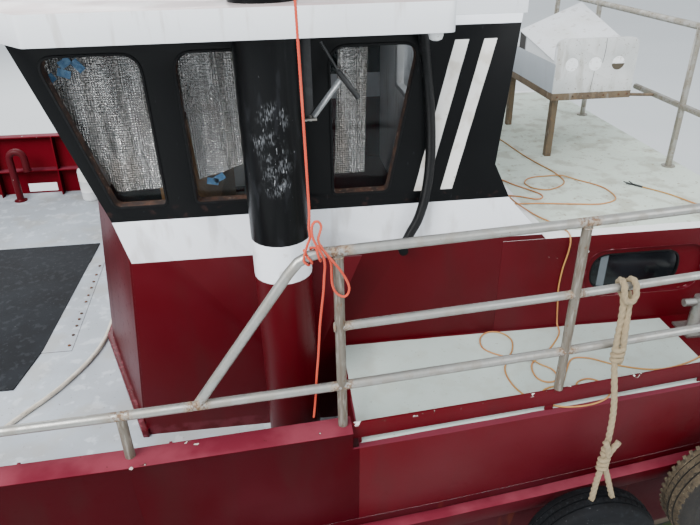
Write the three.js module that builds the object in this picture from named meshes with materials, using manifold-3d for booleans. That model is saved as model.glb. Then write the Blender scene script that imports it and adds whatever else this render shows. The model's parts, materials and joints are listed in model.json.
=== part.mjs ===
// A small steel fishing trawler with its wheelhouse aft, afloat, at full size in millimetres.
// Frame: the bow points to -X, port is -Y, +Z is up, and the origin is on the centreline
// at the waterline, half way along the boat.
import * as THREE from "three";
import { mergeVertices } from "three/addons/utils/BufferGeometryUtils.js";
import Module from "manifold-3d";

const wasm = await Module();
wasm.setup();

// Driving dimensions: levels above the waterline
const DECK = 950; // working deck
const SIDE_DECK = 1480; // side decks beside the casing
const CAP_TOP = 1600; // bulwark cap amidships
const FORE_DECK = 1850;
const CASING_TOP = 2052; // raised deck aft
const SILL = 2385; // lower edge of the wheelhouse windows
const HEAD = 3082; // upper edge of the wheelhouse windows
const ROOF_LOW = 3192;
const ROOF_TOP = 3303;

// Driving dimensions: along and across
const BOW = -7300;
const STERN = 7300;
const BREAK_X = 4820; // where the working deck ends and the side decks start
const FORE_BREAK_X = -3200; // where the foredeck ends
const SHEER_START_X = 1500; // forward of it the bulwark rises towards the bow
const SHEER_RISE = 1.42e-5; // rise per square millimetre of distance
const HOUSE_HALF = 1591; // outer face of the wheelhouse side
const HOUSE_WALL = 60;
const PLATE = 10; // hull and bulwark plating
const GAP = 0.3; // between pieces that touch
const PIPE_R = 21.2; // handrail pipe
const COLUMN_R = 136.5;
const COLUMN_X = 4539;
const COLUMN_Y = 1825;
const SIDES = [
  { name: "port", sign: -1 },
  { name: "starboard", sign: 1 },
];

// Paints and metals
const paint = (color, roughness = 0.4, metalness = 0) =>
  new THREE.MeshStandardMaterial({ color, roughness, metalness });
const MAROON = paint(0x5e0f17, 0.3);
const WHITE = paint(0xe4e4e2, 0.45);
const BLACK = paint(0x16181a, 0.5);
const DECK_GREY = paint(0xaab4b2, 0.8);
const ANTIFOUL = paint(0x3a1512, 0.8);
const GALVANISED = paint(0x9a9a94, 0.55, 0.8);
const STEEL = paint(0x6b6459, 0.6, 0.7);
const BRONZE = paint(0xa5803f, 0.35, 0.9);
const RUBBER = paint(0x1b1c1e, 0.8);
const GLASS = paint(0x39444a, 0.1);
const WOOD = paint(0x7a5433, 0.7);
const LEAD_YELLOW = paint(0xb8863c, 0.5);
const HOSE_WHITE = paint(0xb9ad98, 0.6);
const ROPE_ORANGE = paint(0xc4684a, 0.8);

const part = new THREE.Group();

// A closed geometry as a solid that can be joined and cut.
function solid(geometry) {
  const bare = geometry.index ? geometry.toNonIndexed() : geometry.clone();
  for (const name of Object.keys(bare.attributes)) {
    if (name !== "position") bare.deleteAttribute(name);
  }
  const merged = mergeVertices(bare, 1e-3);
  return new wasm.Manifold(
    new wasm.Mesh({
      numProp: 3,
      vertProperties: new Float32Array(merged.attributes.position.array),
      triVerts: new Uint32Array(merged.index.array),
    }),
  );
}

// A solid as a named mesh of the part.
function addPiece(name, made, material) {
  const mesh = made.getMesh();
  const geometry = new THREE.BufferGeometry();
  const points = new Float32Array(mesh.numVert * 3);
  for (let i = 0; i < mesh.numVert; i++) {
    const from = i * mesh.numProp;
    points.set(mesh.vertProperties.subarray(from, from + 3), i * 3);
  }
  geometry.setAttribute("position", new THREE.BufferAttribute(points, 3));
  geometry.setIndex(new THREE.BufferAttribute(new Uint32Array(mesh.triVerts), 1));
  geometry.computeVertexNormals();
  const piece = new THREE.Mesh(geometry, material);
  piece.name = name;
  part.add(piece);
}

const join = (...solids) => solids.reduce((all, next) => all.add(next));

function box(x0, x1, y0, y1, z0, z1) {
  const geometry = new THREE.BoxGeometry(x1 - x0, y1 - y0, z1 - z0);
  geometry.translate((x0 + x1) / 2, (y0 + y1) / 2, (z0 + z1) / 2);
  return solid(geometry);
}

// A round bar from one point to another.
function rod(from, to, radius, sides = 12, endRadius = radius) {
  const a = new THREE.Vector3(...from);
  const b = new THREE.Vector3(...to);
  const geometry = new THREE.CylinderGeometry(endRadius, radius, a.distanceTo(b), sides);
  const turn = new THREE.Quaternion().setFromUnitVectors(
    new THREE.Vector3(0, 1, 0),
    b.clone().sub(a).normalize(),
  );
  geometry.applyQuaternion(turn);
  geometry.translate((a.x + b.x) / 2, (a.y + b.y) / 2, (a.z + b.z) / 2);
  return solid(geometry);
}

function ball(centre, radius, sides = 12) {
  const geometry = new THREE.SphereGeometry(radius, sides, sides / 2);
  geometry.translate(...centre);
  return solid(geometry);
}

// A pipe through a run of points, mitred at each bend.
function pipe(points, radius, sides = 8) {
  const path = points.map((at) => new THREE.Vector3(...at));
  const runs = path.slice(1).map((to, i) => to.clone().sub(path[i]).normalize());
  const up = Math.abs(runs[0].z) > 0.9 ? new THREE.Vector3(1, 0, 0) : new THREE.Vector3(0, 0, 1);
  const right = runs[0].clone().cross(up).normalize();
  const over = right.clone().cross(runs[0]);
  let ring = Array.from({ length: sides }, (_, i) => {
    const turn = ((i + 0.5) / sides) * 2 * Math.PI;
    const spread = right.clone().multiplyScalar(radius * Math.cos(turn));
    return path[0].clone().add(spread).addScaledVector(over, radius * Math.sin(turn));
  });
  const rings = [ring];
  runs.forEach((run, i) => {
    const end = path[i + 1];
    const mitre = i + 1 < runs.length ? run.clone().add(runs[i + 1]).normalize() : run;
    ring = ring.map((p) => {
      const reach = end.clone().sub(p).dot(mitre) / run.dot(mitre);
      return p.clone().addScaledVector(run, reach);
    });
    rings.push(ring);
  });
  const fan = Array.from({ length: sides - 2 }, (_, i) => [0, i + 1, i + 2]);
  return closedSkin(rings, fan);
}

// An outline whose corners are [u, v, radius], as a three.js shape.
function outline(corners) {
  const shape = new THREE.Shape();
  corners.forEach(([u, v, radius = 0], i) => {
    const at = new THREE.Vector2(u, v);
    const before = new THREE.Vector2(...corners.at(i - 1));
    const after = new THREE.Vector2(...corners[(i + 1) % corners.length]);
    const start = at.clone().add(before.sub(at).setLength(radius));
    const end = at.clone().add(after.sub(at).setLength(radius));
    if (i === 0) shape.moveTo(start.x, start.y);
    else shape.lineTo(start.x, start.y);
    if (radius > 0) shape.quadraticCurveTo(u, v, end.x, end.y);
  });
  shape.closePath();
  return shape;
}

// Prisms of an outline: drawn in XY and raised, drawn in XZ and set across, or drawn in YZ.
function prism(corners, depth) {
  const options = { depth, bevelEnabled: false, curveSegments: 5 };
  return new THREE.ExtrudeGeometry(outline(corners), options);
}
function raised(corners, z0, z1) {
  return solid(prism(corners, z1 - z0).translate(0, 0, z0));
}
function across(corners, y0, y1) {
  const geometry = prism(corners, y1 - y0).rotateX(Math.PI / 2);
  return solid(geometry.translate(0, y1, 0));
}
function along(corners, x0, x1) {
  const geometry = prism(corners, x1 - x0);
  geometry.applyMatrix4(new THREE.Matrix4().set(0, 0, 1, x0, 1, 0, 0, 0, 0, 1, 0, 0, 0, 0, 0, 1));
  return solid(geometry);
}

// A closed skin over rings with the same number of points. Each four-sided patch is split
// along its shorter diagonal, so both sides of the boat match. The first ring's end is filled
// by the end faces turned round, and the last ring's by the end faces as they are.
function closedSkin(rings, endFaces) {
  const count = rings[0].length;
  const last = (rings.length - 1) * count;
  const faces = endFaces.map(([a, b, c]) => [a, c, b]);
  faces.push(...endFaces.map((face) => face.map((i) => last + i)));
  for (let i = 0; i + 1 < rings.length; i++) {
    for (let j = 0; j < count; j++) {
      const next = (j + 1) % count;
      const [a, b, c, d] = [i * count + j, i * count + next, (i + 1) * count + next, (i + 1) * count + j];
      const down = rings[i][j].distanceTo(rings[i + 1][next]);
      const up = rings[i][next].distanceTo(rings[i + 1][j]);
      faces.push(...(down < up ? [[a, b, c], [a, c, d]] : [[a, b, d], [b, c, d]]));
    }
  }
  const points = rings.flat().flatMap((p) => [p.x, p.y, p.z]);
  const make = (list) => {
    const geometry = new THREE.BufferGeometry();
    geometry.setAttribute("position", new THREE.BufferAttribute(new Float32Array(points), 3));
    return solid(geometry.setIndex(list.flat()));
  };
  const made = make(faces);
  return made.volume() > 0 ? made : make(faces.map(([a, b, c]) => [a, c, b]));
}

// A skin over sections whose second half runs back beside the first, point by point.
function loft(sections) {
  const last = sections[0].length - 1;
  const ladder = [];
  for (let k = 0; k < (last - 1) / 2; k++) {
    ladder.push([k, k + 1, last - k - 1], [k, last - k - 1, last - k]);
  }
  return closedSkin(sections, ladder);
}

// Hull form: at each share of the length, the half breadth at the cap and at the waterline,
// the depth of the underside, and how full the section below the waterline is.
const HULL_LINES = [
  { at: 0.0, cap: 45, water: 45, depth: 820, full: 1.3, round: 1.1 },
  { at: 0.04, cap: 640, water: 330, depth: 1090, full: 1.4, round: 1.0 },
  { at: 0.1, cap: 1270, water: 830, depth: 1260, full: 1.6, round: 0.9 },
  { at: 0.18, cap: 1830, water: 1420, depth: 1350, full: 1.9, round: 0.75 },
  { at: 0.28, cap: 2250, water: 1980, depth: 1400, full: 2.3, round: 0.6 },
  { at: 0.4, cap: 2460, water: 2310, depth: 1420, full: 2.6, round: 0.55 },
  { at: 0.55, cap: 2535, water: 2430, depth: 1420, full: 2.7, round: 0.52 },
  { at: 0.7, cap: 2515, water: 2400, depth: 1330, full: 2.6, round: 0.52 },
  { at: 0.82, cap: 2415, water: 2270, depth: 980, full: 2.4, round: 0.52 },
  { at: 0.9, cap: 2312, water: 2120, depth: 520, full: 2.2, round: 0.5 },
  { at: 1.0, cap: 2150, water: 1900, depth: 180, full: 2.0, round: 0.5 },
];
const STATIONS = [
  0, 0.02, 0.04, 0.07, 0.1, 0.14, 0.18, 0.23, 0.28, 0.34, 0.4, 0.475, 0.55, 0.625, 0.7, 0.76, 0.82,
  0.86, 0.9, 0.95, 1,
];
const DEPTH_SHARES = [1, 0.96, 0.86, 0.7, 0.5, 0.25, 0];
const KEEL_HALF = 45;

function hullLine(key, u) {
  const rows = HULL_LINES;
  let i = 0;
  while (i < rows.length - 2 && u > rows[i + 1].at) i++;
  const slope = (a, b) => (rows[b][key] - rows[a][key]) / (rows[b].at - rows[a].at);
  const span = rows[i + 1].at - rows[i].at;
  const t = (u - rows[i].at) / span;
  const before = i > 0 ? slope(i - 1, i + 1) : slope(i, i + 1);
  const after = i + 2 < rows.length ? slope(i, i + 2) : slope(i, i + 1);
  const [t2, t3] = [t * t, t * t * t];
  return (
    rows[i][key] * (2 * t3 - 3 * t2 + 1) +
    rows[i + 1][key] * (3 * t2 - 2 * t3) +
    before * span * (t3 - 2 * t2 + t) +
    after * span * (t3 - t2)
  );
}
const stemX = (z) => BOW + 0.3 * Math.max(0, 2680 - z) + 260 * Math.pow(Math.max(0, -z) / 820, 2);
const transomX = (z) => STERN - 0.1 * (CASING_TOP - z);
const capHeight = (x) => CAP_TOP + SHEER_RISE * Math.pow(Math.max(0, SHEER_START_X - x), 2);
const lengthAt = (u) => BOW + u * (STERN - BOW);

// The levels at which a station is drawn, from the keel to above the cap.
function levelsAt(u) {
  const cap = capHeight(lengthAt(u));
  const below = DEPTH_SHARES.map((share) => -share * hullLine("depth", u));
  return [...below, DECK * 0.33, DECK * 0.66, DECK, (DECK + cap) / 2, cap, cap + 300];
}
function drawnHalf(u, z) {
  const [water, cap] = [hullLine("water", u), hullLine("cap", u)];
  if (z >= 0) return water + (cap - water) * Math.pow(z / capHeight(lengthAt(u)), 1.15);
  const share = Math.min(1, -z / hullLine("depth", u));
  const bulge = Math.pow(1 - Math.pow(share, hullLine("full", u)), hullLine("round", u));
  return KEEL_HALF + (water - KEEL_HALF) * bulge;
}

// The hull's form up to the working deck, or up past the cap, moved in by an inset.
const TO_DECK = DEPTH_SHARES.length + 3;
const TO_CAP = DEPTH_SHARES.length + 6;
function hullForm(levelCount, inset = 0) {
  return loft(
    STATIONS.map((u) => {
      const side = levelsAt(u).slice(0, levelCount).map((z) => {
        const x = stemX(z) + u * (transomX(z) - stemX(z)) + inset * (1 - 2 * u);
        return new THREE.Vector3(x, Math.max(5, drawnHalf(u, z) - inset), z);
      });
      const port = side.map((p) => new THREE.Vector3(p.x, -p.y, p.z)).reverse();
      return [...port, ...side];
    }),
  );
}
// The half breadth of the hull at a place.
function hullHalfAt(x, z) {
  return drawnHalf((x - stemX(z)) / (transomX(z) - stemX(z)), z);
}
// A slab between two heights measured from the cap's sheer line.
function sheerSlab(low, high) {
  const xs = [BOW - 400, ...STATIONS.map(lengthAt), STERN + 400];
  return loft(
    xs.map((x) => {
      const [z0, z1] = [capHeight(x) + low, capHeight(x) + high];
      return [[-4000, z0], [4000, z0], [4000, z1], [-4000, z1]].map(
        ([y, z]) => new THREE.Vector3(x, y, z),
      );
    }),
  );
}
const wideBox = (x0, x1, z0, z1) => box(x0, x1, -4000, 4000, z0, z1);

// Hull, keel and decks
const ENGINE = { x0: 3700, x1: 5100, half: 375, z0: -700 + GAP, z1: 250 };
const PIT = { x0: 3600, x1: 5200, half: 520, z0: -700 };
const SHAFT = { x0: 5420, x1: 6000, z: -1080, r: 38 };
const RUDDER = { x: 6640, stockR: 45, low: -1740, high: -460, x0: 6500, x1: 7180 };
const PINTLE_R = 32; // the pin under the rudder
const RUNNING = 0.5; // radial clearance of a shaft in its bearing
const SHAFT_SIDES = 24;
const KEEL_LOW = -1900;

function buildHull() {
  const pit = box(PIT.x0, PIT.x1, -PIT.half, PIT.half, PIT.z0, DECK + 100);
  const stockBore = rod([RUDDER.x, 0, -900], [RUDDER.x, 0, 300], RUDDER.stockR + 1, 24);
  const pad = box(PAD.x0, PAD.x1, -PAD.half, PAD.half, DECK - 50, DECK + PAD.thick);
  const hull = join(hullForm(TO_DECK), pad).subtract(pit).subtract(stockBore);
  addPiece("hull", hull, MAROON);

  const inside = hullForm(TO_CAP, PLATE + 3);
  const foredeck = inside.intersect(wideBox(BOW - 100, FORE_BREAK_X, DECK + GAP, FORE_DECK));
  addPiece("foredeck", foredeck, DECK_GREY);

  addPiece(
    "engine_block",
    box(ENGINE.x0, ENGINE.x1, -ENGINE.half, ENGINE.half, ENGINE.z0, ENGINE.z1),
    STEEL,
  );
}

// Bar keel with the stern post, the shaft boss and the sole piece that holds the rudder's heel
const KEEL = { half: 55, x0: -5850, sternPost0: 5150, sternPost1: 5560, soleX: 6760, soleHigh: -1790 };
function buildKeel() {
  const bar = across(
    [
      [KEEL.x0, -900],
      [KEEL.x0 + 500, -1450],
      [-2000, -1640],
      [KEEL.sternPost1 - 200, KEEL_LOW],
      [KEEL.soleX, KEEL_LOW],
      [KEEL.soleX, KEEL.soleHigh],
      [KEEL.sternPost1 + 100, KEEL.soleHigh],
      [KEEL.sternPost1, KEEL.soleHigh + 150],
      [KEEL.sternPost1, -200],
      [KEEL.x0, -200],
    ],
    -KEEL.half,
    KEEL.half,
  );
  const boss = rod([KEEL.sternPost0, 0, SHAFT.z], [KEEL.sternPost1 + 60, 0, SHAFT.z], 100, 20);
  const bore = rod([SHAFT.x0 - GAP, 0, SHAFT.z], [KEEL.sternPost1 + 100, 0, SHAFT.z], SHAFT.r + RUNNING, 20);
  const heel = rod([RUDDER.x, 0, KEEL_LOW], [RUDDER.x, 0, KEEL.soleHigh], 75, 16);
  const pintle = rod([RUDDER.x, 0, KEEL_LOW + 40], [RUDDER.x, 0, KEEL.soleHigh + 20], PINTLE_R + 1, 24);
  const hull = hullForm(TO_DECK, -2 * GAP);
  const keel = join(bar, boss, heel)
    .subtract(bore)
    .subtract(pintle)
    .subtract(join(hull, hull.translate(0, 0, -2 * GAP)));
  const pieces = keel.decompose();
  pieces.sort((a, b) => b.volume() - a.volume());
  addPiece("keel", pieces[0], ANTIFOUL);
}

// Bulwarks: plating, stays, a stringer, freeing ports and the cap
const STAY_DEPTH = 110;
const STAY_XS = [
  -6300, -5600, -4900, -4200, -3500, -2850, -2230, -1610, -990, -370, 250, 870, 1500, 2140, 2760,
  3380, 4000,
];
const PORT_XS = [-2540, -680, 1190, 1910, 3070];
const FREEING = { width: 310, low: 965, high: 1060 };
const CAP = { out: 15, inward: 95, thick: 12 };
const CAP_END_X = 4790;

function buildBulwarks() {
  const outer = hullForm(TO_CAP);
  const belowCap = sheerSlab(-5000, -CAP.thick / 2);
  const plate = outer.subtract(hullForm(TO_CAP, PLATE));
  const ribZone = hullForm(TO_CAP, PLATE / 2).subtract(hullForm(TO_CAP, STAY_DEPTH));
  const slabs = STAY_XS.map((x) => wideBox(x - 6, x + 6, 0, 4000)).concat(
    wideBox(FORE_BREAK_X + 50, CAP_END_X - 60, 1225, 1237),
  );
  const foredeckZone = wideBox(BOW - 500, FORE_BREAK_X + GAP, 0, FORE_DECK + GAP);
  const ribs = ribZone.intersect(join(...slabs)).subtract(foredeckZone);
  const cap = hullForm(TO_CAP, -CAP.out)
    .subtract(hullForm(TO_CAP, CAP.inward))
    .intersect(sheerSlab(-CAP.thick, 0));
  const holes = join(
    ...PORT_XS.map((x) =>
      wideBox(x - FREEING.width / 2, x + FREEING.width / 2, FREEING.low, FREEING.high),
    ),
  );
  const portSide = join(
    box(BOW - 500, CAP_END_X, -4000, -GAP, DECK + GAP, 4000),
    box(CAP_END_X - 5, BREAK_X - GAP, -4000, -GAP, DECK + GAP, SIDE_DECK),
  );
  const whole = join(join(plate, ribs).intersect(belowCap), cap).intersect(portSide).subtract(holes);
  const pieces = whole.decompose();
  pieces.sort((a, b) => b.volume() - a.volume());
  addPiece("bulwark_port", pieces[0], MAROON);
  addPiece("bulwark_starboard", pieces[0].mirror([0, 1, 0]), MAROON);
}

const STRAKE = { proud: 60, low: 795, high: 900, x0: -6350, x1: 7120 };
function buildStrakes() {
  const ring = hullForm(TO_DECK, -STRAKE.proud)
    .subtract(hullForm(TO_DECK, -GAP))
    .intersect(wideBox(STRAKE.x0, STRAKE.x1, STRAKE.low, STRAKE.high));
  const port = ring.intersect(box(BOW - 500, STERN + 100, -4000, -5, 0, 5000));
  addPiece("rubbing_strake_port", port, MAROON);
  addPiece("rubbing_strake_starboard", port.mirror([0, 1, 0]), MAROON);
}

// The casing behind the wheelhouse, with its oval side lights set in recesses that run on aft
const CASING_X = 5705;
const OVAL = { x0: 6244, x1: 6775, low: 1692, high: 1915, corner: 105 };
const RECESS = { x0: 6205, x1: 6905, low: 1655, high: 1955, corner: 120, depth: 24 };
function buildCasing() {
  const y = HOUSE_HALF;
  let casing = box(CASING_X, STERN, -y, y, SIDE_DECK + GAP, CASING_TOP);
  for (const { sign } of SIDES) {
    const zone = ({ x0, x1, low, high, corner }, depth) =>
      across(
        [[x0, low, corner], [x1, low, corner], [x1, high, corner], [x0, high, corner]],
        sign * y - depth,
        sign * y + depth,
      );
    casing = casing.subtract(zone(RECESS, RECESS.depth)).subtract(zone(OVAL, RECESS.depth + 14));
  }
  addPiece("casing", casing, MAROON);
}

// Wheelhouse. Its front leans aft up to the sill and then forward, and is bent at two corners.
const FRONT = [
  { z: DECK + GAP, x: 3672 },
  { z: 2083, x: 3788 },
  { z: 2310, x: 3736 },
  { z: ROOF_LOW - GAP, x: 3448 },
];
const FRONT_BEND = { y: 572, x: -395 };
const PORT_WINDOWS = [
  [[3770, SILL, 30], [4009, SILL, 25], [3994, HEAD, 90], [3560, HEAD, 90]],
  [[4150, SILL, 25], [4580, SILL, 25], [4580, HEAD, 90], [4136, HEAD, 90]],
  [[4810, SILL, 25], [5080, SILL, 25], [5222, HEAD, 90], [4810, HEAD, 90]],
];
const HINGE = { x: 3806, y: 1628, r: 12 };
const HINGE_ZS = [1480, 2760];
// Half of a door hinge: a barrel on the pin and a leaf that reaches a way along X.
function hingeHalf(z0, z1, reach) {
  const { x, y, r } = HINGE;
  const leaf =
    reach < 0 ? box(x + reach, x, HOUSE_HALF - 1, y, z0, z1) : box(x, x + reach, 1610, 1624, z0, z1);
  return join(rod([x, y, z0], [x, y, z1], r, 16), leaf);
}
const DOOR = { x0: 3815, x1: 4345, low: 1230, high: 3020, thick: 45 };
const STARBOARD_WINDOWS = [PORT_WINDOWS[2]];
const HOUSE_AFT = 5620;
const SIDE_OUTLINE = [
  [FRONT[0].x, DECK + GAP],
  [BREAK_X - GAP, DECK + GAP],
  [BREAK_X - GAP, SIDE_DECK + GAP],
  [CASING_X - GAP, SIDE_DECK + GAP],
  [CASING_X - GAP, CASING_TOP + GAP],
  [5943, CASING_TOP + GAP],
  [5716, 2300],
  [5622, 2490],
  [5683, ROOF_LOW - GAP],
  ...FRONT.slice(1).map(({ x, z }) => [x, z]).reverse(),
];

function buildHouseSides() {
  const inner = HOUSE_HALF - HOUSE_WALL;
  for (const { name, sign } of SIDES) {
    const [y0, y1] = sign > 0 ? [inner, HOUSE_HALF] : [-HOUSE_HALF, -inner];
    const windows = sign > 0 ? STARBOARD_WINDOWS : PORT_WINDOWS;
    let wall = across(SIDE_OUTLINE, y0, y1);
    for (const corners of windows) wall = wall.subtract(across(corners, y0 - 5, y1 + 5));
    if (sign < 0) {
      const [x, z] = CONDUIT.elbow;
      wall = join(wall, rod([x, -HOUSE_HALF + 2, z], [x, -HOUSE_HALF - 92, z], 24, 16));
    }
    if (sign > 0) {
      const hole = box(DOOR.x0 - 5, DOOR.x1 + 5, y0 - 5, y1 + 5, DOOR.low - 5, DOOR.high + 5);
      wall = join(wall.subtract(hole), ...HINGE_ZS.map((z) => hingeHalf(z + GAP, z + 40, -45)));
    }
    addPiece("wheelhouse_side_" + name, wall, WHITE);
    const panes = windows.map((corners) => {
      const xs = corners.map(([x]) => x);
      return [Math.min(...xs) - 25, Math.max(...xs) + 25];
    });
    const from = panes[0][0];
    const to = panes.at(-1)[1];
    const pane0 = sign > 0 ? inner - 9 : -inner + GAP;
    const glazing = across(
      [
        [Math.max(from, 3764), SILL - 25],
        [to - 60, SILL - 25],
        [to, HEAD + 25],
        [Math.max(from, 3520), HEAD + 25],
      ],
      pane0,
      pane0 + 9 - GAP,
    );
    addPiece("window_glass_" + name, glazing, GLASS);
  }
}

function frontSlice(offset, low, high, half) {
  const at = (z) => {
    let i = 0;
    while (i < FRONT.length - 2 && z > FRONT[i + 1].z) i++;
    const share = (z - FRONT[i].z) / (FRONT[i + 1].z - FRONT[i].z);
    return FRONT[i].x + share * (FRONT[i + 1].x - FRONT[i].x);
  };
  const cuts = [low, ...FRONT.map(({ z }) => z).filter((z) => z > low && z < high), high];
  const edge = (FRONT_BEND.x * (HOUSE_HALF - half)) / (HOUSE_HALF - FRONT_BEND.y);
  const outer = [
    [edge, -half],
    [FRONT_BEND.x, -FRONT_BEND.y],
    [FRONT_BEND.x, FRONT_BEND.y],
    [edge, half],
  ];
  const inner = outer.map(([dx, y]) => [dx + offset.thick, y]).reverse();
  return loft(
    cuts.map((z) =>
      [...outer, ...inner].map(([dx, y]) => new THREE.Vector3(at(z) + offset.out + dx, y, z)),
    ),
  );
}

const FRONT_WINDOWS = [
  { y0: -1400, y1: -690 },
  { y0: -510, y1: -40 },
  { y0: 40, y1: 510 },
  { y0: 690, y1: 1400 },
];
function buildHouseFront() {
  const half = HOUSE_HALF - HOUSE_WALL - GAP;
  let wall = frontSlice({ out: 0, thick: HOUSE_WALL }, DECK + GAP, ROOF_LOW - GAP, half);
  for (const { y0, y1 } of FRONT_WINDOWS) {
    const corners = [[y0, SILL, 25], [y1, SILL, 25], [y1, HEAD, 80], [y0, HEAD, 80]];
    wall = wall.subtract(along(corners, 2500, 4200));
  }
  const [x, y, z] = HOSE.valve;
  const valve = join(
    rod([x, y, z], [3345, y, z], 17, 10),
    rod([x, y, z - 40], [x, y, z + 45], 24, 12),
    rod([x, y, z + 40], [x, y, z + 62], 34, 12),
  );
  addPiece("wheelhouse_front", join(wall, valve), WHITE);
  const pane = frontSlice({ out: HOUSE_WALL + GAP, thick: 9 }, SILL - 25, HEAD + 25, half - 80);
  addPiece("window_glass_front", pane, GLASS);
}

const AFT_WINDOW = { y0: -700, y1: 700 };
const LEAD = { r: 4.5, exitX: 5662, exitY: 620, exitZ: 2200 }; // it leaves through a gland
function buildHouseBack() {
  const half = HOUSE_HALF - HOUSE_WALL - GAP;
  const corners = [
    [AFT_WINDOW.y0, SILL, 40],
    [AFT_WINDOW.y1, SILL, 40],
    [AFT_WINDOW.y1, HEAD - 60, 80],
    [AFT_WINDOW.y0, HEAD - 60, 80],
  ];
  const wall = box(HOUSE_AFT - HOUSE_WALL, HOUSE_AFT, -half, half, SIDE_DECK + GAP, ROOF_LOW - GAP)
    .subtract(along(corners, HOUSE_AFT - 200, HOUSE_AFT + 100));
  const { exitX, exitY, exitZ } = LEAD;
  const gland = rod([HOUSE_AFT - 1, exitY, exitZ], [exitX - GAP, exitY, exitZ], 13, 12, 9);
  addPiece("wheelhouse_back", join(wall, gland), WHITE);
  const glassX = HOUSE_AFT - HOUSE_WALL - 9;
  const pane = box(glassX, glassX + 9 - GAP, AFT_WINDOW.y0 - 25, AFT_WINDOW.y1 + 25, SILL - 25, HEAD - 35);
  addPiece("window_glass_aft", pane, GLASS);
}

const FLOOR = { low: 1150, high: 1190 };
const FRONT_INSIDE_X = FRONT[0].x + 86; // inner face of the front at the floor, before its bend
function buildFloor() {
  const half = HOUSE_HALF - HOUSE_WALL - GAP;
  const side = (FRONT_BEND.x * (HOUSE_HALF - half)) / (HOUSE_HALF - FRONT_BEND.y);
  const port = [
    [BREAK_X - GAP, -half],
    [FRONT_INSIDE_X + side, -half],
    [FRONT_INSIDE_X + FRONT_BEND.x, -FRONT_BEND.y],
  ];
  const starboard = port.map(([x, y]) => [x, -y]).reverse();
  addPiece("wheelhouse_floor", raised([...port, ...starboard].reverse(), FLOOR.low, FLOOR.high), WOOD);
}

// Roof with the visor that runs round the front and stops part way along each side
const VISOR = [
  [5250, -2060, 40],
  [3696, -2060, 15],
  [3130, -1397, 15],
  [2810, -560, 15],
  [2810, 560, 15],
  [3130, 1397, 15],
  [3696, 2060, 15],
  [5250, 2060, 40],
  [5250, 1590, 0],
  [5706, 1590, 10],
  [5706, -1590, 10],
  [5250, -1590, 0],
];
function buildRoof() {
  let roof = raised([...VISOR].reverse(), ROOF_LOW, ROOF_TOP);
  for (const { sign } of SIDES) {
    roof = roof.subtract(
      rod([COLUMN_X, sign * COLUMN_Y, 3000], [COLUMN_X, sign * COLUMN_Y, 3500], COLUMN_R + 1, 24),
    );
  }
  addPiece("wheelhouse_roof", roof, WHITE);
}

function buildDoor() {
  const y0 = HOUSE_HALF - 20;
  let door = box(DOOR.x0, DOOR.x1, y0, y0 + DOOR.thick, DOOR.low, DOOR.high);
  const light = [[3920, 2430, 40], [4240, 2430, 40], [4240, 2900, 40], [3920, 2900, 40]];
  door = door.subtract(across(light, y0 - 5, y0 + 16)).subtract(across(light, y0 + 26, y0 + 60));
  const handle = box(DOOR.x1 - 90, DOOR.x1 - 40, y0 + DOOR.thick - 1, y0 + DOOR.thick + 40, 2080, 2100);
  const hinges = HINGE_ZS.map((z) => hingeHalf(z - 40, z, 100));
  addPiece("wheelhouse_door", join(door, handle, ...hinges), WHITE);
}

function buildInterior() {
  const foot = FLOOR.high + GAP;
  const desk = [[3850, foot], [4150, foot], [4150, 1950], [4060, 2080], [3850, 2210]];
  addPiece("helm_console", across(desk, -900, 900), WOOD);
  const seat = join(
    box(4480, 4560, -40, 40, foot, 1750),
    box(4290, 4760, -240, 240, 1750, 1870),
    box(4700, 4790, -230, 230, 1860, 2420),
    box(4400, 4640, -120, 120, foot, 1215),
  );
  addPiece("helm_seat", seat, BLACK);
}

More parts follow.
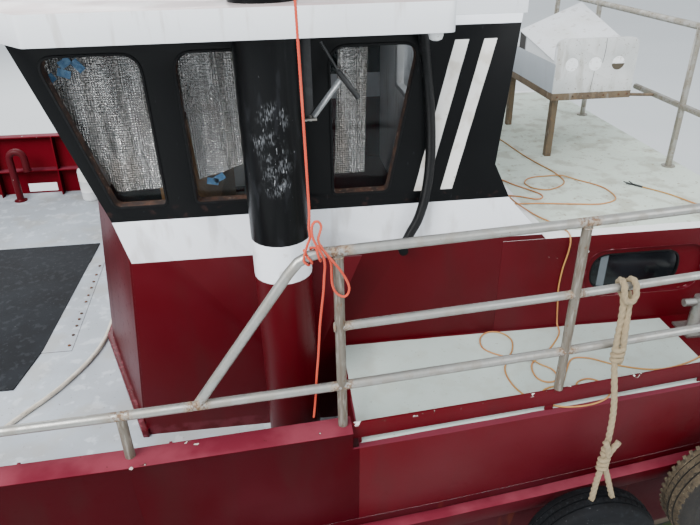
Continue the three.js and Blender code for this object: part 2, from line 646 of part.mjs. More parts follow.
// Goalpost over the wheelhouse: two columns, a lower and an upper beam, and the mast
const BEAM = { low: 3800, high: 6050, r: 90 };
const MAST = { foot: 70, head: 45, top: 7900 };
const mastRadius = (z) => MAST.foot + ((MAST.head - MAST.foot) * (z - BEAM.high)) / (MAST.top - BEAM.high);
const PIN_X = COLUMN_X - 220; // the derrick's pin
const SPAN_TOP = 6560;
const RADAR = { x: COLUMN_X + 560, half: 440, z: 6700 };
const KNEE = [
  [COLUMN_X + 60, 1560],
  [COLUMN_X + 150, 1560],
  [4925, 2118],
  [COLUMN_X + 60, 2118],
];
const HALYARD = { x: 4640, out: 2330, arm: 3640, r: 5 };
function buildGoalpost() {
  for (const { name, sign } of SIDES) {
    const y = sign * COLUMN_Y;
    const column = rod([COLUMN_X, y, DECK + GAP], [COLUMN_X, y, BEAM.high - BEAM.r - GAP], COLUMN_R, 24);
    const armEnd = [HALYARD.x, sign * (HALYARD.out + 20), HALYARD.arm];
    const arm = rod([COLUMN_X + 40, y, HALYARD.arm], armEnd, 17, 10);
    const kneeY = sign * 1750;
    const knee = across(KNEE, kneeY - 6, kneeY + 6);
    addPiece("goalpost_column_" + name, join(column, arm, knee), MAROON);
  }
  const reach = COLUMN_Y + COLUMN_R + 60;
  const upper = join(
    box(COLUMN_X - 90, COLUMN_X + 90, -reach, reach, BEAM.high - BEAM.r, BEAM.high + BEAM.r),
    rod([COLUMN_X, 0, BEAM.high], [COLUMN_X, 0, MAST.top], MAST.foot, 16, MAST.head),
    box(COLUMN_X - 20, COLUMN_X + 20, -700, 700, 7150, 7190),
    box(COLUMN_X + 30, RADAR.x + 90, -90, 90, RADAR.z - 40, RADAR.z),
    rod([COLUMN_X, 0, 6200], [RADAR.x, 0, RADAR.z - 30], 25, 8),
    box(PIN_X - 60, COLUMN_X, -30, 30, SPAN_TOP + 40 + RUNNING, SPAN_TOP + 70),
  );
  addPiece("goalpost_head", upper, WHITE);
  const inner = COLUMN_Y - COLUMN_R - GAP;
  const lower = join(
    box(COLUMN_X - 80, COLUMN_X + 80, -inner, inner, BEAM.low - 80, BEAM.low + 80),
    box(COLUMN_X - 290, COLUMN_X - 70, -60, 60, BEAM.low - 70, BEAM.low - 30),
    box(COLUMN_X - 290, COLUMN_X - 70, -60, 60, BEAM.low + 130, BEAM.low + 170),
    box(COLUMN_X - 90, COLUMN_X - 60, -60, 60, BEAM.low - 70, BEAM.low + 170),
  );
  addPiece("goalpost_beam", lower, WHITE);
  addPiece(
    "radar_scanner",
    join(
      rod([RADAR.x, 0, RADAR.z + RUNNING], [RADAR.x, 0, RADAR.z + 60], 60, 16),
      box(RADAR.x - 40, RADAR.x + 40, -RADAR.half, RADAR.half, RADAR.z + 55, RADAR.z + 135),
    ),
    WHITE,
  );
}

// Derrick: it swings on a vertical pin at the lower beam, under the masthead block
const BOOM = { length: 4800, rise: 0.2, r: 60 };
const boomPoint = (share) => [
  PIN_X - 60 - share * BOOM.length * Math.cos(BOOM.rise),
  0,
  BEAM.low + 50 + share * BOOM.length * Math.sin(BOOM.rise),
];
function buildDerrick() {
  const tip = boomPoint(1);
  const spanTop = [PIN_X, 0, SPAN_TOP];
  const gooseneck = join(
    rod([PIN_X, 0, BEAM.low - 30 + RUNNING], [PIN_X, 0, BEAM.low + 130 - RUNNING], 45, 16),
    rod([PIN_X, 0, BEAM.low + 50], boomPoint(0.02), 45, 12),
    rod(boomPoint(0.01), boomPoint(0.5), 45, 10, BOOM.r),
    rod(boomPoint(0.5), tip, BOOM.r, 10, 40),
    ball(tip, 44, 8),
  );
  const eye = rod([tip[0], -30, tip[2] - 70], [tip[0], 30, tip[2] - 70], 60, 16);
  const hookBlock = join(
    eye,
    rod([tip[0], 0, tip[2] - 80], [tip[0], 0, tip[2] - 700], 9, 8),
    rod([tip[0], -35, tip[2] - 780], [tip[0], 35, tip[2] - 780], 95, 16),
    rod([tip[0], 0, tip[2] - 860], [tip[0], 0, tip[2] - 960], 16, 8),
  );
  const span = rod([tip[0] + 30, 0, tip[2] + 20], spanTop, 9, 8);
  addPiece("derrick_boom", join(gooseneck, hookBlock, span, ball(spanTop, 40, 8)), WHITE);
}

// The forestay, with its lug on the cap at the stem
const STAY = { top: 7300, lug0: -7230, lug1: -7090, high: 80 };
function buildForestay() {
  const { lug0, lug1, top, high } = STAY;
  const seat = (x) => capHeight(x) + 2;
  const lug = across(
    [[lug0, seat(lug0)], [lug1, seat(lug1)], [lug1, seat(lug1) + high], [lug0, seat(lug0) + 40]],
    -8,
    8,
  );
  const wire = rod([COLUMN_X - mastRadius(top) - 3.5, 0, top], [lug1 - 20, 0, seat(lug1) + 60], 9, 8);
  addPiece("forestay", join(wire, lug), STEEL);
}

// Handrails along the side decks and across the stern, and the side decks with their toe bars
const RAIL_INSET = 56;
const railY = (x) => hullHalfAt(x, CAP_TOP) - RAIL_INSET;
const RAIL = { top: 2468, mid: 2124, low: 1820 };
const POST_XS = [4752, 5790, 6650];
const STUB_XS = [3080, 3843];
const RAIL_FORE = 2300;
const RAIL_KNEE = [[4146, 1820], [4560, 2393], [4600, 2438], [4645, 2460], [4690, 2468]];
const RAIL_AFT = 7080;
const RAIL_XS = [RAIL_FORE, ...STUB_XS, ...POST_XS, RAIL_AFT];
const TOE = { low: SIDE_DECK + 32, out: 9, thick: 12, aft: 7150 };
function buildSideRails() {
  const toeBars = [];
  for (const { name, sign } of SIDES) {
    const at = (x, z) => [x, sign * railY(x), z];
    const level = (xs, z) => xs.map((x) => at(x, z));
    const rail = join(
      pipe([at(RAIL_FORE, CAP_TOP + GAP), ...level(RAIL_XS, RAIL.low)], PIPE_R),
      pipe(
        [
          ...RAIL_KNEE.map(([x, z]) => at(x, z)),
          ...level([...POST_XS, RAIL_AFT], RAIL.top),
          at(RAIL_AFT, CAP_TOP + GAP),
        ],
        PIPE_R,
      ),
      pipe(level([...POST_XS, RAIL_AFT], RAIL.mid), PIPE_R * 0.9),
      ...POST_XS.map((x) => rod(at(x, CAP_TOP + GAP), at(x, RAIL.top), PIPE_R, 8)),
      ...STUB_XS.map((x) => rod(at(x, CAP_TOP + GAP), at(x, RAIL.low), PIPE_R, 8)),
    );
    addPiece("handrail_" + name, rail, GALVANISED);

    const bars = [CAP_END_X + 2, 5790, 6500, TOE.aft];
    const edge = (out) => bars.map((x) => [x, sign * (railY(x) + out)]);
    const loop = [...edge(TOE.out), ...edge(TOE.out - TOE.thick).reverse()];
    const toe = raised(sign > 0 ? loop.reverse() : loop, TOE.low, CAP_TOP);
    const feet = [4815, 5755, 6600, 7120].map((x) => {
      const [y0, y1] = [railY(x) + TOE.out - TOE.thick, railY(x) + TOE.out - 3].map((y) => sign * y);
      const [low, high] = [Math.min(y0, y1), Math.max(y0, y1)];
      return box(Math.max(x - 20, BREAK_X + 5), x + 20, low, high, SIDE_DECK - 20, TOE.low + 20);
    });
    toeBars.push(toe, ...feet);
  }
  const quarter = hullForm(TO_CAP).intersect(wideBox(BREAK_X + GAP, STERN + 100, DECK + GAP, SIDE_DECK));
  addPiece("side_decks", join(quarter, ...toeBars), MAROON);
}

const STERN_RAIL = { x: 7198, half: 1450, top: 2955, mid: 2463, gateFrom: -76, gateTo: 500 };
function buildSternRail() {
  const { x, half, top, mid, gateFrom, gateTo } = STERN_RAIL;
  const posts = [-half, -659, 659, half];
  const foot = CASING_TOP + GAP;
  const stern = join(
    pipe([[x, -half, foot], [x, -half, top], [x, half, top], [x, half, foot]], PIPE_R),
    rod([x, -half, mid], [x, gateFrom, mid], PIPE_R, 8),
    rod([x, gateTo, mid], [x, half, mid], PIPE_R, 8),
    ...posts.slice(1, 3).map((y) => rod([x, y, foot], [x, y, top], PIPE_R, 8)),
    ...posts.map((y) => rod([x, y, foot], [x, y, foot + 8], 45, 8)),
  );
  addPiece("handrail_stern", stern, GALVANISED);
}

// Gutting chute on the raised deck, on its angle iron stand
const CHUTE = { x0: 6420, x1: 6985, y0: -345, y1: 560, low: 2513, side: 2705, front: -380 };
const LID = [
  { x: CHUTE.x0, back: 293, backTop: 2821, frontTop: 2723 },
  { x: CHUTE.x1, back: 552, backTop: 2972, frontTop: 2759 },
];
function buildChute() {
  const tray = box(CHUTE.x0, CHUTE.x1, CHUTE.y0, CHUTE.y1, CHUTE.low, CHUTE.side);
  const lid = loft(
    LID.map(({ x, back, backTop, frontTop }) =>
      [
        [CHUTE.y0, CHUTE.side - 5],
        [back, CHUTE.side - 5],
        [back, backTop],
        [CHUTE.y0, frontTop],
      ].map(([y, z]) => new THREE.Vector3(x, y, z)),
    ),
  );
  let plate = across(
    [
      [CHUTE.x0, CHUTE.low, 8],
      [CHUTE.x1, CHUTE.low, 8],
      [CHUTE.x1, 2862, 60],
      [CHUTE.x0, 2862, 60],
    ],
    CHUTE.front,
    CHUTE.y0 + 1,
  );
  for (const x of [6534, 6697, 6858]) {
    plate = plate.subtract(rod([x, CHUTE.front - 10, 2700], [x, CHUTE.y0 - 6, 2700], 46, 20));
  }
  addPiece("gutting_chute", join(tray, lid, plate), WHITE);
  const rim = box(CHUTE.x0, CHUTE.x1, CHUTE.front, CHUTE.y1, 2465, CHUTE.low - GAP).subtract(
    box(CHUTE.x0 + 8, CHUTE.x1 - 8, CHUTE.front + 8, CHUTE.y1 - 8, 2460, 2505),
  );
  const legs = [-305, 505].map((y) => box(6455, 6499, y - 22, y + 22, CASING_TOP + GAP, 2510));
  const brackets = [-345, 530].map((y) =>
    rod([CHUTE.x1 - 4, y, 2476], [STERN_RAIL.x - PIPE_R - GAP, y, 2465], 11, 10),
  );
  addPiece("chute_stand", join(rim, ...legs, ...brackets), STEEL);
}

// Tyre fenders, each with the lanyard that it hangs by
const FENDERS = [
  { name: "mid", x: 6048, z: 632, r: 350, wide: 190, knot: 6038 },
  { name: "aft", x: 6902, z: 756, r: 370, wide: 200, knot: 6540 },
];
const ROPE_R = 12;
const HITCH_R = PIPE_R * 0.9 + ROPE_R + 1.85;
function buildFenders() {
  for (const { name: side, sign } of SIDES) {
    for (const { name, x, z, r, wide, knot } of FENDERS) {
      const y = sign * (hullHalfAt(x - r, STRAKE.high) + STRAKE.proud + wide / 2 + 6);
      const w = wide / 2;
      const inner = r * 0.56;
      const section = [
        [inner, -w * 0.62],
        [r * 0.72, -w],
        [r * 0.9, -w * 0.96],
        [r, -w * 0.66],
        [r, w * 0.66],
        [r * 0.9, w * 0.96],
        [r * 0.72, w],
        [inner, w * 0.62],
        [inner + 14, w * 0.55],
        [r * 0.72, w - 14],
        [r * 0.92, w * 0.6],
        [r * 0.92, -w * 0.6],
        [r * 0.72, -w + 14],
        [inner + 14, -w * 0.55],
      ].map(([u, v]) => new THREE.Vector2(u, v));
      const geometry = new THREE.LatheGeometry([...section, section[0]], 18);
      const tyre = solid(geometry.translate(x, y, z));
      const outward = tyre.volume() > 0 ? tyre : solid(geometry);
      const rail = [knot, sign * railY(knot), RAIL.mid];
      const bearing = Math.atan2(sign * (railY(knot + 50) - railY(knot - 50)), 100);
      const hitch = new THREE.TorusGeometry(HITCH_R, ROPE_R, 6, 12).rotateY(Math.PI / 2).rotateZ(bearing);
      const rope = join(
        solid(hitch.translate(...rail)),
        rod([rail[0], rail[1] + sign * HITCH_R, rail[2] - 10], [x, y, z + r - 10], ROPE_R, 8),
      );
      addPiece(["tyre_fender", name, side].join("_"), join(outward, rope), RUBBER);
    }
  }
}

// Propeller with its shaft, and the rudder
const BLADE = {
  x: 5750,
  root: 60,
  thick: 16,
  pitch: 0.55,
  outline: [
    [-40, 0],
    [40, 0],
    [110, 120],
    [140, 240],
    [120, 360],
    [60, 420],
    [-20, 430],
    [-100, 380],
    [-140, 260],
    [-120, 130],
  ],
};
function buildSternGear() {
  const hub = rod([5640, 0, SHAFT.z], [5860, 0, SHAFT.z], 85, 16, 60);
  const blades = [0, 1, 2, 3].map((i) => {
    const geometry = prism(BLADE.outline, BLADE.thick);
    geometry.translate(0, BLADE.root, -BLADE.thick / 2);
    geometry.rotateY(Math.PI / 2 + BLADE.pitch);
    geometry.rotateX(((i + 1) * Math.PI) / 2);
    return solid(geometry.translate(BLADE.x, 0, SHAFT.z));
  });
  const shaft = rod([SHAFT.x0, 0, SHAFT.z], [5660, 0, SHAFT.z], SHAFT.r, 20);
  addPiece("propeller", join(hub, shaft, ...blades), BRONZE);
  const blade = across(
    [
      [RUDDER.x0, RUDDER.low],
      [RUDDER.x1, RUDDER.low + 30, 60],
      [RUDDER.x1 - 40, RUDDER.high, 60],
      [RUDDER.x0 + 20, RUDDER.high],
    ],
    -32,
    32,
  );
  const rudder = join(
    blade,
    rod([RUDDER.x, 0, RUDDER.high - 20], [RUDDER.x, 0, 250], RUDDER.stockR, 24),
    rod([RUDDER.x, 0, KEEL_LOW + 45], [RUDDER.x, 0, RUDDER.low + 10], PINTLE_R, 24),
  );
  addPiece("rudder", rudder, ANTIFOUL);
}

// The rubber mat ahead of the wheelhouse, and the doubler plate that deck gear is bolted to
const MAT = { x0: 1450, x1: 2810, y0: -1060, y1: 1040, thick: 9 };
const PAD = { x0: 680, x1: 1280, half: 450, thick: 12 };
function buildMat() {
  const { x0, x1, y0, y1, thick } = MAT;
  const corners = [[x0, y0], [x1 - 60, y0], [x1, y0 + 420], [x1 + 20, y1], [x0, y1]];
  addPiece("deck_mat", raised(corners, DECK + GAP, DECK + GAP + thick), RUBBER);
}

// Fish hatch, trawl winch, windlass, gallows and the rest of the working deck
const HATCH = { x0: -900, x1: 500, half: 620, top: 1300, wall: 30 };
function buildHatch() {
  const coaming = box(HATCH.x0, HATCH.x1, -HATCH.half, HATCH.half, DECK + GAP, HATCH.top).subtract(
    box(
      HATCH.x0 + HATCH.wall,
      HATCH.x1 - HATCH.wall,
      -HATCH.half + HATCH.wall,
      HATCH.half - HATCH.wall,
      DECK + 40,
      HATCH.top + 10,
    ),
  );
  addPiece("hatch_coaming", coaming, MAROON);
  const z = HATCH.top + GAP;
  const lid = join(
    box(HATCH.x0 - 30, HATCH.x1 + 30, -HATCH.half - 30, HATCH.half + 30, z, z + 40),
    rod([HATCH.x1 - 120, -60, z + 70], [HATCH.x1 - 120, 60, z + 70], 10, 8),
    rod([HATCH.x1 - 120, -60, z + 20], [HATCH.x1 - 120, -60, z + 78], 10, 8),
    rod([HATCH.x1 - 120, 60, z + 20], [HATCH.x1 - 120, 60, z + 78], 10, 8),
  );
  addPiece("hatch_lid", lid, WHITE);
}

const WINCH = { x: -2250, z: 1500, drumR: 340, coreR: 150, inner: 120, outer: 640, shaftR: 48 };
function buildWinch() {
  const cheek = (y) => box(WINCH.x - 260, WINCH.x + 260, y - 20, y + 20, DECK + 60, WINCH.z + 130);
  const end = WINCH.outer + 60;
  const frame = join(
    box(WINCH.x - 330, WINCH.x + 330, -end - 60, end + 60, DECK + GAP, DECK + 80),
    ...[-end, 0, end].map(cheek),
    box(WINCH.x + 60, WINCH.x + 330, -100, 100, DECK + 70, WINCH.z + 60),
  );
  const bore = rod(
    [WINCH.x, -end - 50, WINCH.z],
    [WINCH.x, end + 50, WINCH.z],
    WINCH.shaftR + RUNNING,
    SHAFT_SIDES,
  );
  addPiece("winch_frame", frame.subtract(bore), STEEL);
  for (const { name, sign } of SIDES) {
    const y = (v) => sign * v;
    const disc = (v0, v1, r, sides = 16) =>
      rod([WINCH.x, y(v0), WINCH.z], [WINCH.x, y(v1), WINCH.z], r, sides);
    const drum = join(
      disc(WINCH.inner, WINCH.inner + 24, WINCH.drumR),
      disc(WINCH.inner, WINCH.outer, WINCH.coreR),
      disc(WINCH.outer - 24, WINCH.outer, WINCH.drumR),
      disc(WINCH.inner + 24, WINCH.outer - 24, WINCH.coreR + 90),
      disc(30, end + 200, WINCH.shaftR, SHAFT_SIDES),
      disc(end + 60, end + 90, 130),
      disc(end + 60, end + 200, 95),
      disc(end + 180, end + 200, 130),
    );
    addPiece("winch_drum_" + name, drum, STEEL);
  }
}

const WINDLASS = { x: -5000, z: FORE_DECK + 330, shaftR: 38 };
function buildWindlass() {
  const { x, z, shaftR } = WINDLASS;
  const frame = join(
    box(x - 300, x + 300, -330, 330, FORE_DECK + GAP, FORE_DECK + 40),
    ...[-280, 280].map((y) => box(x - 160, x + 160, y - 20, y + 20, FORE_DECK + 30, z + 110)),
  ).subtract(rod([x, -320, z], [x, 320, z], shaftR + RUNNING, SHAFT_SIDES));
  addPiece("windlass_frame", frame, STEEL);
  const disc = (y0, y1, r, sides = 16) => rod([x, y0, z], [x, y1, z], r, sides);
  const drum = join(
    disc(-480, 480, shaftR, SHAFT_SIDES),
    disc(-200, 200, 110),
    disc(-220, -195, 220),
    disc(195, 220, 220),
    disc(-480, -340, 90),
    disc(340, 480, 90),
  );
  addPiece("windlass_drum", drum, STEEL);
}

const GALLOWS = { x0: -1480, x1: -500, y: 2120, top: 2900, r: 57 };
function buildGallows() {
  for (const { name, sign } of SIDES) {
    const y = sign * GALLOWS.y;
    const { x0, x1, top, r } = GALLOWS;
    const middle = (x0 + x1) / 2;
    const arch = [0, 1, 2, 3, 4, 5, 6].map((i) => {
      const turn = (Math.PI * i) / 6;
      const half = (x1 - x0) / 2;
      return [middle - half * Math.cos(turn), y, top + half * 0.8 * Math.sin(turn)];
    });
    const frame = join(
      pipe([[x0, y, DECK + GAP], ...arch, [x1, y, DECK + GAP]], r, 10),
      rod([x0, y, 2300], [x1, y, 2300], 35, 8),
      ...[x0, x1].map((x) => box(x - 110, x + 110, y - 110, y + 110, DECK + GAP, DECK + 16)),
      box(middle - 12, middle + 12, y - 60, y + 60, top + 260, top + 420),
      rod([middle, y - 40, top + 190], [middle, y + 40, top + 190], 120, 20),
    );
    addPiece("trawl_gallows_" + name, frame, MAROON);
  }
}

const BITTS = { x0: 6726, x1: 7060, y: 1750, z: 1672, r: 38, barR: 22 };
function buildFittings() {
  for (const { name, sign } of SIDES) {
    const { x0, x1, y, z, r, barR } = BITTS;
    const [y0, y1] = [sign * y - 75, sign * y + 75];
    const post = join(
      box(x0 + 20, x1 - 20, y0, y1, SIDE_DECK + GAP, SIDE_DECK + 14),
      ...[x0 + 100, x1 - 100].map((x) => rod([x, sign * y, SIDE_DECK + 10], [x, sign * y, z + 30], r, 12)),
      rod([x0, sign * y, z], [x1, sign * y, z], barR, 12),
    );
    addPiece("mooring_bitts_" + name, post, GALVANISED);
  }
  const raft = join(
    rod([5150, -250, ROOF_TOP + 290], [5150, 900, ROOF_TOP + 290], 240, 20),
    box(5000, 5300, 0, 60, ROOF_TOP + GAP, ROOF_TOP + 150),
    box(5000, 5300, 600, 660, ROOF_TOP + GAP, ROOF_TOP + 150),
  );
  addPiece("liferaft", raft, WHITE);
  const exhaust = join(
    box(5740, 6100, 900, 1300, CASING_TOP + GAP, CASING_TOP + 760),
    rod([5920, 1100, CASING_TOP + 700], [5920, 1100, CASING_TOP + 1750], 80, 16),
  );
  addPiece("exhaust_funnel", exhaust, MAROON);
}

// Cords. Each route runs over what it lies on, and passes over itself in a low hump.
const LEAD_ROUTE = [
  [5662, 620, 2200], [5700, 620, 2200], [5750, 615, 2163], [5790, 605, 2102], [5850, 577, 2064],
  [5935, 530, 2057], [6082, 410, 2057], [6203, 264, 2057], [6269, 87, 2057], [6291, -101, 2057],
  [6312, -290, 2057], [6346, -477, 2057], [6386, -663, 2057], [6371, -848, 2057], [6223, -945, 2057],
  [6142, -901, 2057], [6123, -807, 2057], [6185, -731, 2057], [6314, -714, 2057], [6391, -747, 2068.3],
  [6474, -811, 2057], [6578, -968, 2057], [6564, -1150, 2057], [6450, -1208, 2057],
  [6276, -1183, 2057], [6090, -1144, 2057], [5902, -1117, 2057], [5860, -1091, 2057],
  [5844, -1049, 2057], [5867, -1010, 2057], [5920, -993, 2057], [6004, -1019, 2057],
  [6102, -1079, 2057], [6141, -1057, 2057], [6150, -1013, 2057], [6122, -952, 2057],
  [6043, -827, 2057], [5984, -722, 2057], [5926, -713, 2057], [5884, -754, 2057], [5881, -823, 2057],
  [5920, -944, 2057], [5928, -994, 2068.3], [5942, -1126, 2068.3], [6003, -1310, 2057],
  [6078, -1470, 2057], [6078, -1518, 2061], [6077, -1566, 2067.5], [6077, -1595, 2056.5],
  [6078, -1607, 2027.2], [6078, -1600, 1960], [6064, -1596, 1860], [6058, -1596, 1740],
  [6070, -1596, 1620], [6080, -1596, 1530], [6080, -1608, 1497], [6070, -1665, 1485],
  [5951, -1812, 1485], [5804, -1930, 1485], [5789, -2036, 1485], [5817, -2073, 1485],
  [5862, -2078, 1485], [5895, -2045, 1485], [5895, -1987, 1485], [5848, -1932, 1485],
  [5817, -1912, 1496.2], [5693, -1847, 1485], [5595, -1754, 1485], [5612, -1652, 1485],
  [5675, -1609, 1485], [5743, -1630, 1485], [5774, -1700, 1485], [5744, -1797, 1485],
  [5706, -1856, 1497.2], [5647, -1960, 1485], [5671, -2143, 1485], [5814, -2259, 1485],
  [6000, -2262, 1485], [6097, -2207, 1485], [6103, -2131, 1485], [6050, -2083, 1485],
  [5985, -2096, 1485], [5940, -2151, 1485], [5862, -2211, 1485], [5801, -2206, 1485],
  [5772, -2177, 1485], [5781, -2138, 1485], [5818, -2121, 1485], [5898, -2096, 1485],
  [5956, -2012, 1485], [6040, -1911, 1485], [6120, -1919, 1485], [6246, -2000, 1485],
  [6424, -2061, 1485], [6611, -2033, 1485], [6787, -1961, 1485], [6961, -1896, 1485],
  [7046, -1858, 1485], [7092, -1795, 1485], [7100, -1715, 1485], [7100, -1632, 1485],
  [7100, -1608, 1497], [7100, -1596, 1530],
  [7100, -1596, 1640], [7100, -1596, 1760], [7100, -1596, 1880], [7100, -1600, 1960],
  [7100, -1607, 2027.2], [7100, -1595, 2056.5], [7100, -1566, 2067.5], [7098, -1518, 2061],
  [7092, -1470, 2057], [6995, -1307, 2057], [6918, -1133, 2057], [6790, -955, 2057],
];
const HOSE = { r: 15, z: DECK + 15.5, valve: [3238, 250, 1300] };
const HOSE_ROUTE = [
  [3238, 250, 1259.7], [3238, 250, 1150], [3238, 249, 1085], [3238, 238, 1040], [3237, 213, 1000],
  [3236, 176, 974], [3234, 130, HOSE.z], [3230, 40, HOSE.z], [3226, -60, HOSE.z], [3223, -160, HOSE.z],
  [3222, -264, HOSE.z], [3225, -370, HOSE.z], [3226, -480, HOSE.z], [3220, -591, HOSE.z],
  [3200, -715, HOSE.z], [3165, -840, HOSE.z], [3112, -970, HOSE.z], [3051, -1096, HOSE.z],
  [2990, -1196, HOSE.z], [2925, -1286, HOSE.z], [2866, -1372, HOSE.z], [2810, -1459, HOSE.z],
  [2762, -1545, HOSE.z], [2724, -1640, HOSE.z],
];
const CONDUIT = { r: 25, elbow: [5150, 2085] }; // it goes into the wall through an elbow
const CONDUIT_ROUTE = [
  [5216, -1653, 3191.4], [5216, -1653, 3150], [5232, -1650, 3020], [5248, -1648, 2900], [5263, -1646, 2780],
  [5272, -1644, 2660], [5275, -1643, 2550], [5268, -1644, 2440], [5250, -1648, 2330], [5222, -1652, 2240],
  [5190, -1649, 2175], [5164, -1650, 2121],
];
const HALYARD_ROUTE = [
  [4640, -2330, 3622], [4647, -2366, 3060], [4650, -2387, 2720], [4650, -2392, 2640],
  [4646, -2397, 2592], [4648, -2400, 2556], [4636, -2398, 2522], [4620.7, -2391.6, 2456.5],
  [4632.6, -2388.6, 2437.7], [4640.8, -2370.9, 2426.5], [4641.9, -2348.7, 2430],
  [4636.4, -2334.8, 2446.9], [4628.8, -2337.3, 2467.9], [4624.9, -2354.6, 2481.5],
  [4628.2, -2376.8, 2480.4], [4638, -2390.8, 2466], [4650, -2388.5, 2447.1], [4651, -2371.2, 2432.6],
  [4652.9, -2348.8, 2435], [4652.1, -2334.3, 2452.3], [4650.4, -2336, 2474.6],
  [4650.1, -2352.9, 2489.2], [4669, -2368.2, 2493], [4673.4, -2385.8, 2479.9],
  [4679.3, -2388.6, 2458.4], [4684.4, -2374.8, 2441.2], [4687, -2352.5, 2438.7],
  [4686.6, -2334.5, 2452.5], [4684.7, -2331.5, 2474.8], [4683.6, -2345, 2492.6],
  [4685, -2367.1, 2495.9], [4688, -2378, 2507], [4692, -2395, 2503], [4702, -2402, 2488],
  [4713, -2400, 2468], [4721, -2395, 2440], [4722, -2391, 2395], [4724, -2387, 2343],
  [4735, -2385, 2308], [4753, -2384, 2288], [4769, -2384, 2282], [4782, -2384, 2291],
  [4789, -2386, 2318], [4784, -2390, 2346], [4768, -2397, 2385], [4745, -2406, 2428],
  [4722, -2413, 2464], [4702, -2414, 2494], [4684, -2411, 2522], [4677, -2406, 2548],
  [4684, -2402, 2572], [4690, -2400, 2594], [4687, -2401, 2608], [4679, -2403, 2618],
  [4668, -2406, 2619], [4659, -2410, 2610], [4655, -2413, 2598], [4656, -2419, 2568],
  [4667, -2425, 2538], [4682, -2428, 2510], [4693, -2425, 2480], [4697, -2414, 2444],
  [4694, -2398, 2390], [4689, -2388, 2318], [4680, -2384, 2243], [4669, -2380, 2150],
  [4663, -2374, 2070], [4656, -2357, 1970], [4650, -2340, 1895], [4645, -2334, 1835],
  [4640, -2333, 1771], [4625, -2336, 1640],
];
function buildCords() {
  addPiece("electric_lead", pipe(LEAD_ROUTE, LEAD.r), LEAD_YELLOW);
  addPiece("deck_hose", pipe(HOSE_ROUTE, HOSE.r), HOSE_WHITE);
  addPiece("wall_conduit", pipe(CONDUIT_ROUTE, CONDUIT.r, 12), RUBBER);
  addPiece("halyard", pipe(HALYARD_ROUTE, HALYARD.r), ROPE_ORANGE);
}

buildHull();
buildKeel();
buildBulwarks();
buildStrakes();
buildCasing();
buildHouseSides();
buildHouseFront();
buildHouseBack();
buildFloor();
buildRoof();
buildDoor();
buildInterior();
buildGoalpost();
buildDerrick();
buildForestay();
buildSideRails();
buildSternRail();
buildChute();
buildFenders();
buildSternGear();
buildHatch();
buildWinch();
buildWindlass();
buildGallows();
buildFittings();
buildMat();
buildCords();

export default part;
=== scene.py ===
"""Looks of a small steel stern trawler, afloat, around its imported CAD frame.

Everything is in metres in the row frame: the bow points to -X, port is -Y and +Z is up, with the
origin on the centreline at the waterline.
"""

from __future__ import annotations

import json
import logging
import math
import random
from dataclasses import dataclass
from enum import Enum
from typing import Callable, Iterable, Sequence

import bpy
import numpy as np
from mathutils import Matrix, Vector

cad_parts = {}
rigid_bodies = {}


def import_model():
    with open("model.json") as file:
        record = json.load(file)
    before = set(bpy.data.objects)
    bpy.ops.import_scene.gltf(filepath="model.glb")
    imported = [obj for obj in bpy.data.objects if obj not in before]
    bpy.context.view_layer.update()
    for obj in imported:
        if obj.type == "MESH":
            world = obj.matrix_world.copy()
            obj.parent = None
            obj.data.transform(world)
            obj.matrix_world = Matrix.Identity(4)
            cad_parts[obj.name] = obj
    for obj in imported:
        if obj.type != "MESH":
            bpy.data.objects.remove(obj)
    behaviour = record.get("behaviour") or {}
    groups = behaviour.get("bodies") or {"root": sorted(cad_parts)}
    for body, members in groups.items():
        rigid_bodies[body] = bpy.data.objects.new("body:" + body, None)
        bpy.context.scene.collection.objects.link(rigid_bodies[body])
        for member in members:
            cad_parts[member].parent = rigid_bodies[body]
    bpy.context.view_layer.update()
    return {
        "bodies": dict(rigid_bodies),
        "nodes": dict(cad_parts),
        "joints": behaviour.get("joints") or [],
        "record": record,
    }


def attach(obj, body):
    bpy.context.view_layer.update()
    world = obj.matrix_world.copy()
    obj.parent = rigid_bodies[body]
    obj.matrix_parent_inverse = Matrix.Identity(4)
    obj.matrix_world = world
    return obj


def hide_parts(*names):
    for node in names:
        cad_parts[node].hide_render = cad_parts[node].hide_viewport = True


Piece = bpy.types.Object
Socket = bpy.types.NodeSocket
Triple = tuple[float, float, float]
Point = Sequence[float]
Section = Callable[[np.ndarray, float], np.ndarray]
LOG = logging.getLogger("trawler")
MM = 0.001

# Levels that the CAD and the looks share
CAP_TOP = 1.6
SILL = 2.385
HEAD = 3.082
RAIL_TOP = 2.468
RAIL_MID = 2.124
RAIL_LOW = 1.82

# The side rails' pipe
PIPE_R = 0.0212

# Angles in degrees under which an edge is shaded smooth, and the distance at which points are merged
SMOOTH_ANGLE = 32.0
PIPE_ANGLE = 40.0
MERGE = 0.0002


class Axis(Enum):
    """A direction of the row frame."""

    X = 0
    Y = 1
    Z = 2


X, Y, Z = Axis


class Pattern(Enum):
    """What the fine relief of a surface looks like."""

    GRAIN = "ShaderNodeTexNoise"
    BUBBLES = "ShaderNodeTexVoronoi"


PATTERN_SETTINGS = {
    Pattern.GRAIN: {"Detail": 4.0},
    Pattern.BUBBLES: {"feature": "SMOOTH_F1", "Smoothness": 0.3, "Randomness": 0.25},
}
# Inputs A and B and the result of a Mix node, for colours and for plain numbers
COLOUR_SLOTS = (6, 7, 2)
NUMBER_SLOTS = (2, 3, 0)
COAT_ROUGHNESS = 0.12
RIPPLE_DETAIL = 5.0
PATCH_DETAIL = 4.0


def linear(colour: str) -> tuple[float, float, float, float]:
    """Turns an sRGB hex colour to linear light.

    Args:
        colour: Six hex digits with a leading hash.

    Returns:
        Linear red, green, blue and alpha.
    """
    parts = [int(colour[i : i + 2], 16) / 255 for i in (1, 3, 5)]
    light = [v / 12.92 if v <= 0.04045 else ((v + 0.055) / 1.055) ** 2.4 for v in parts]
    return (*light, 1.0)


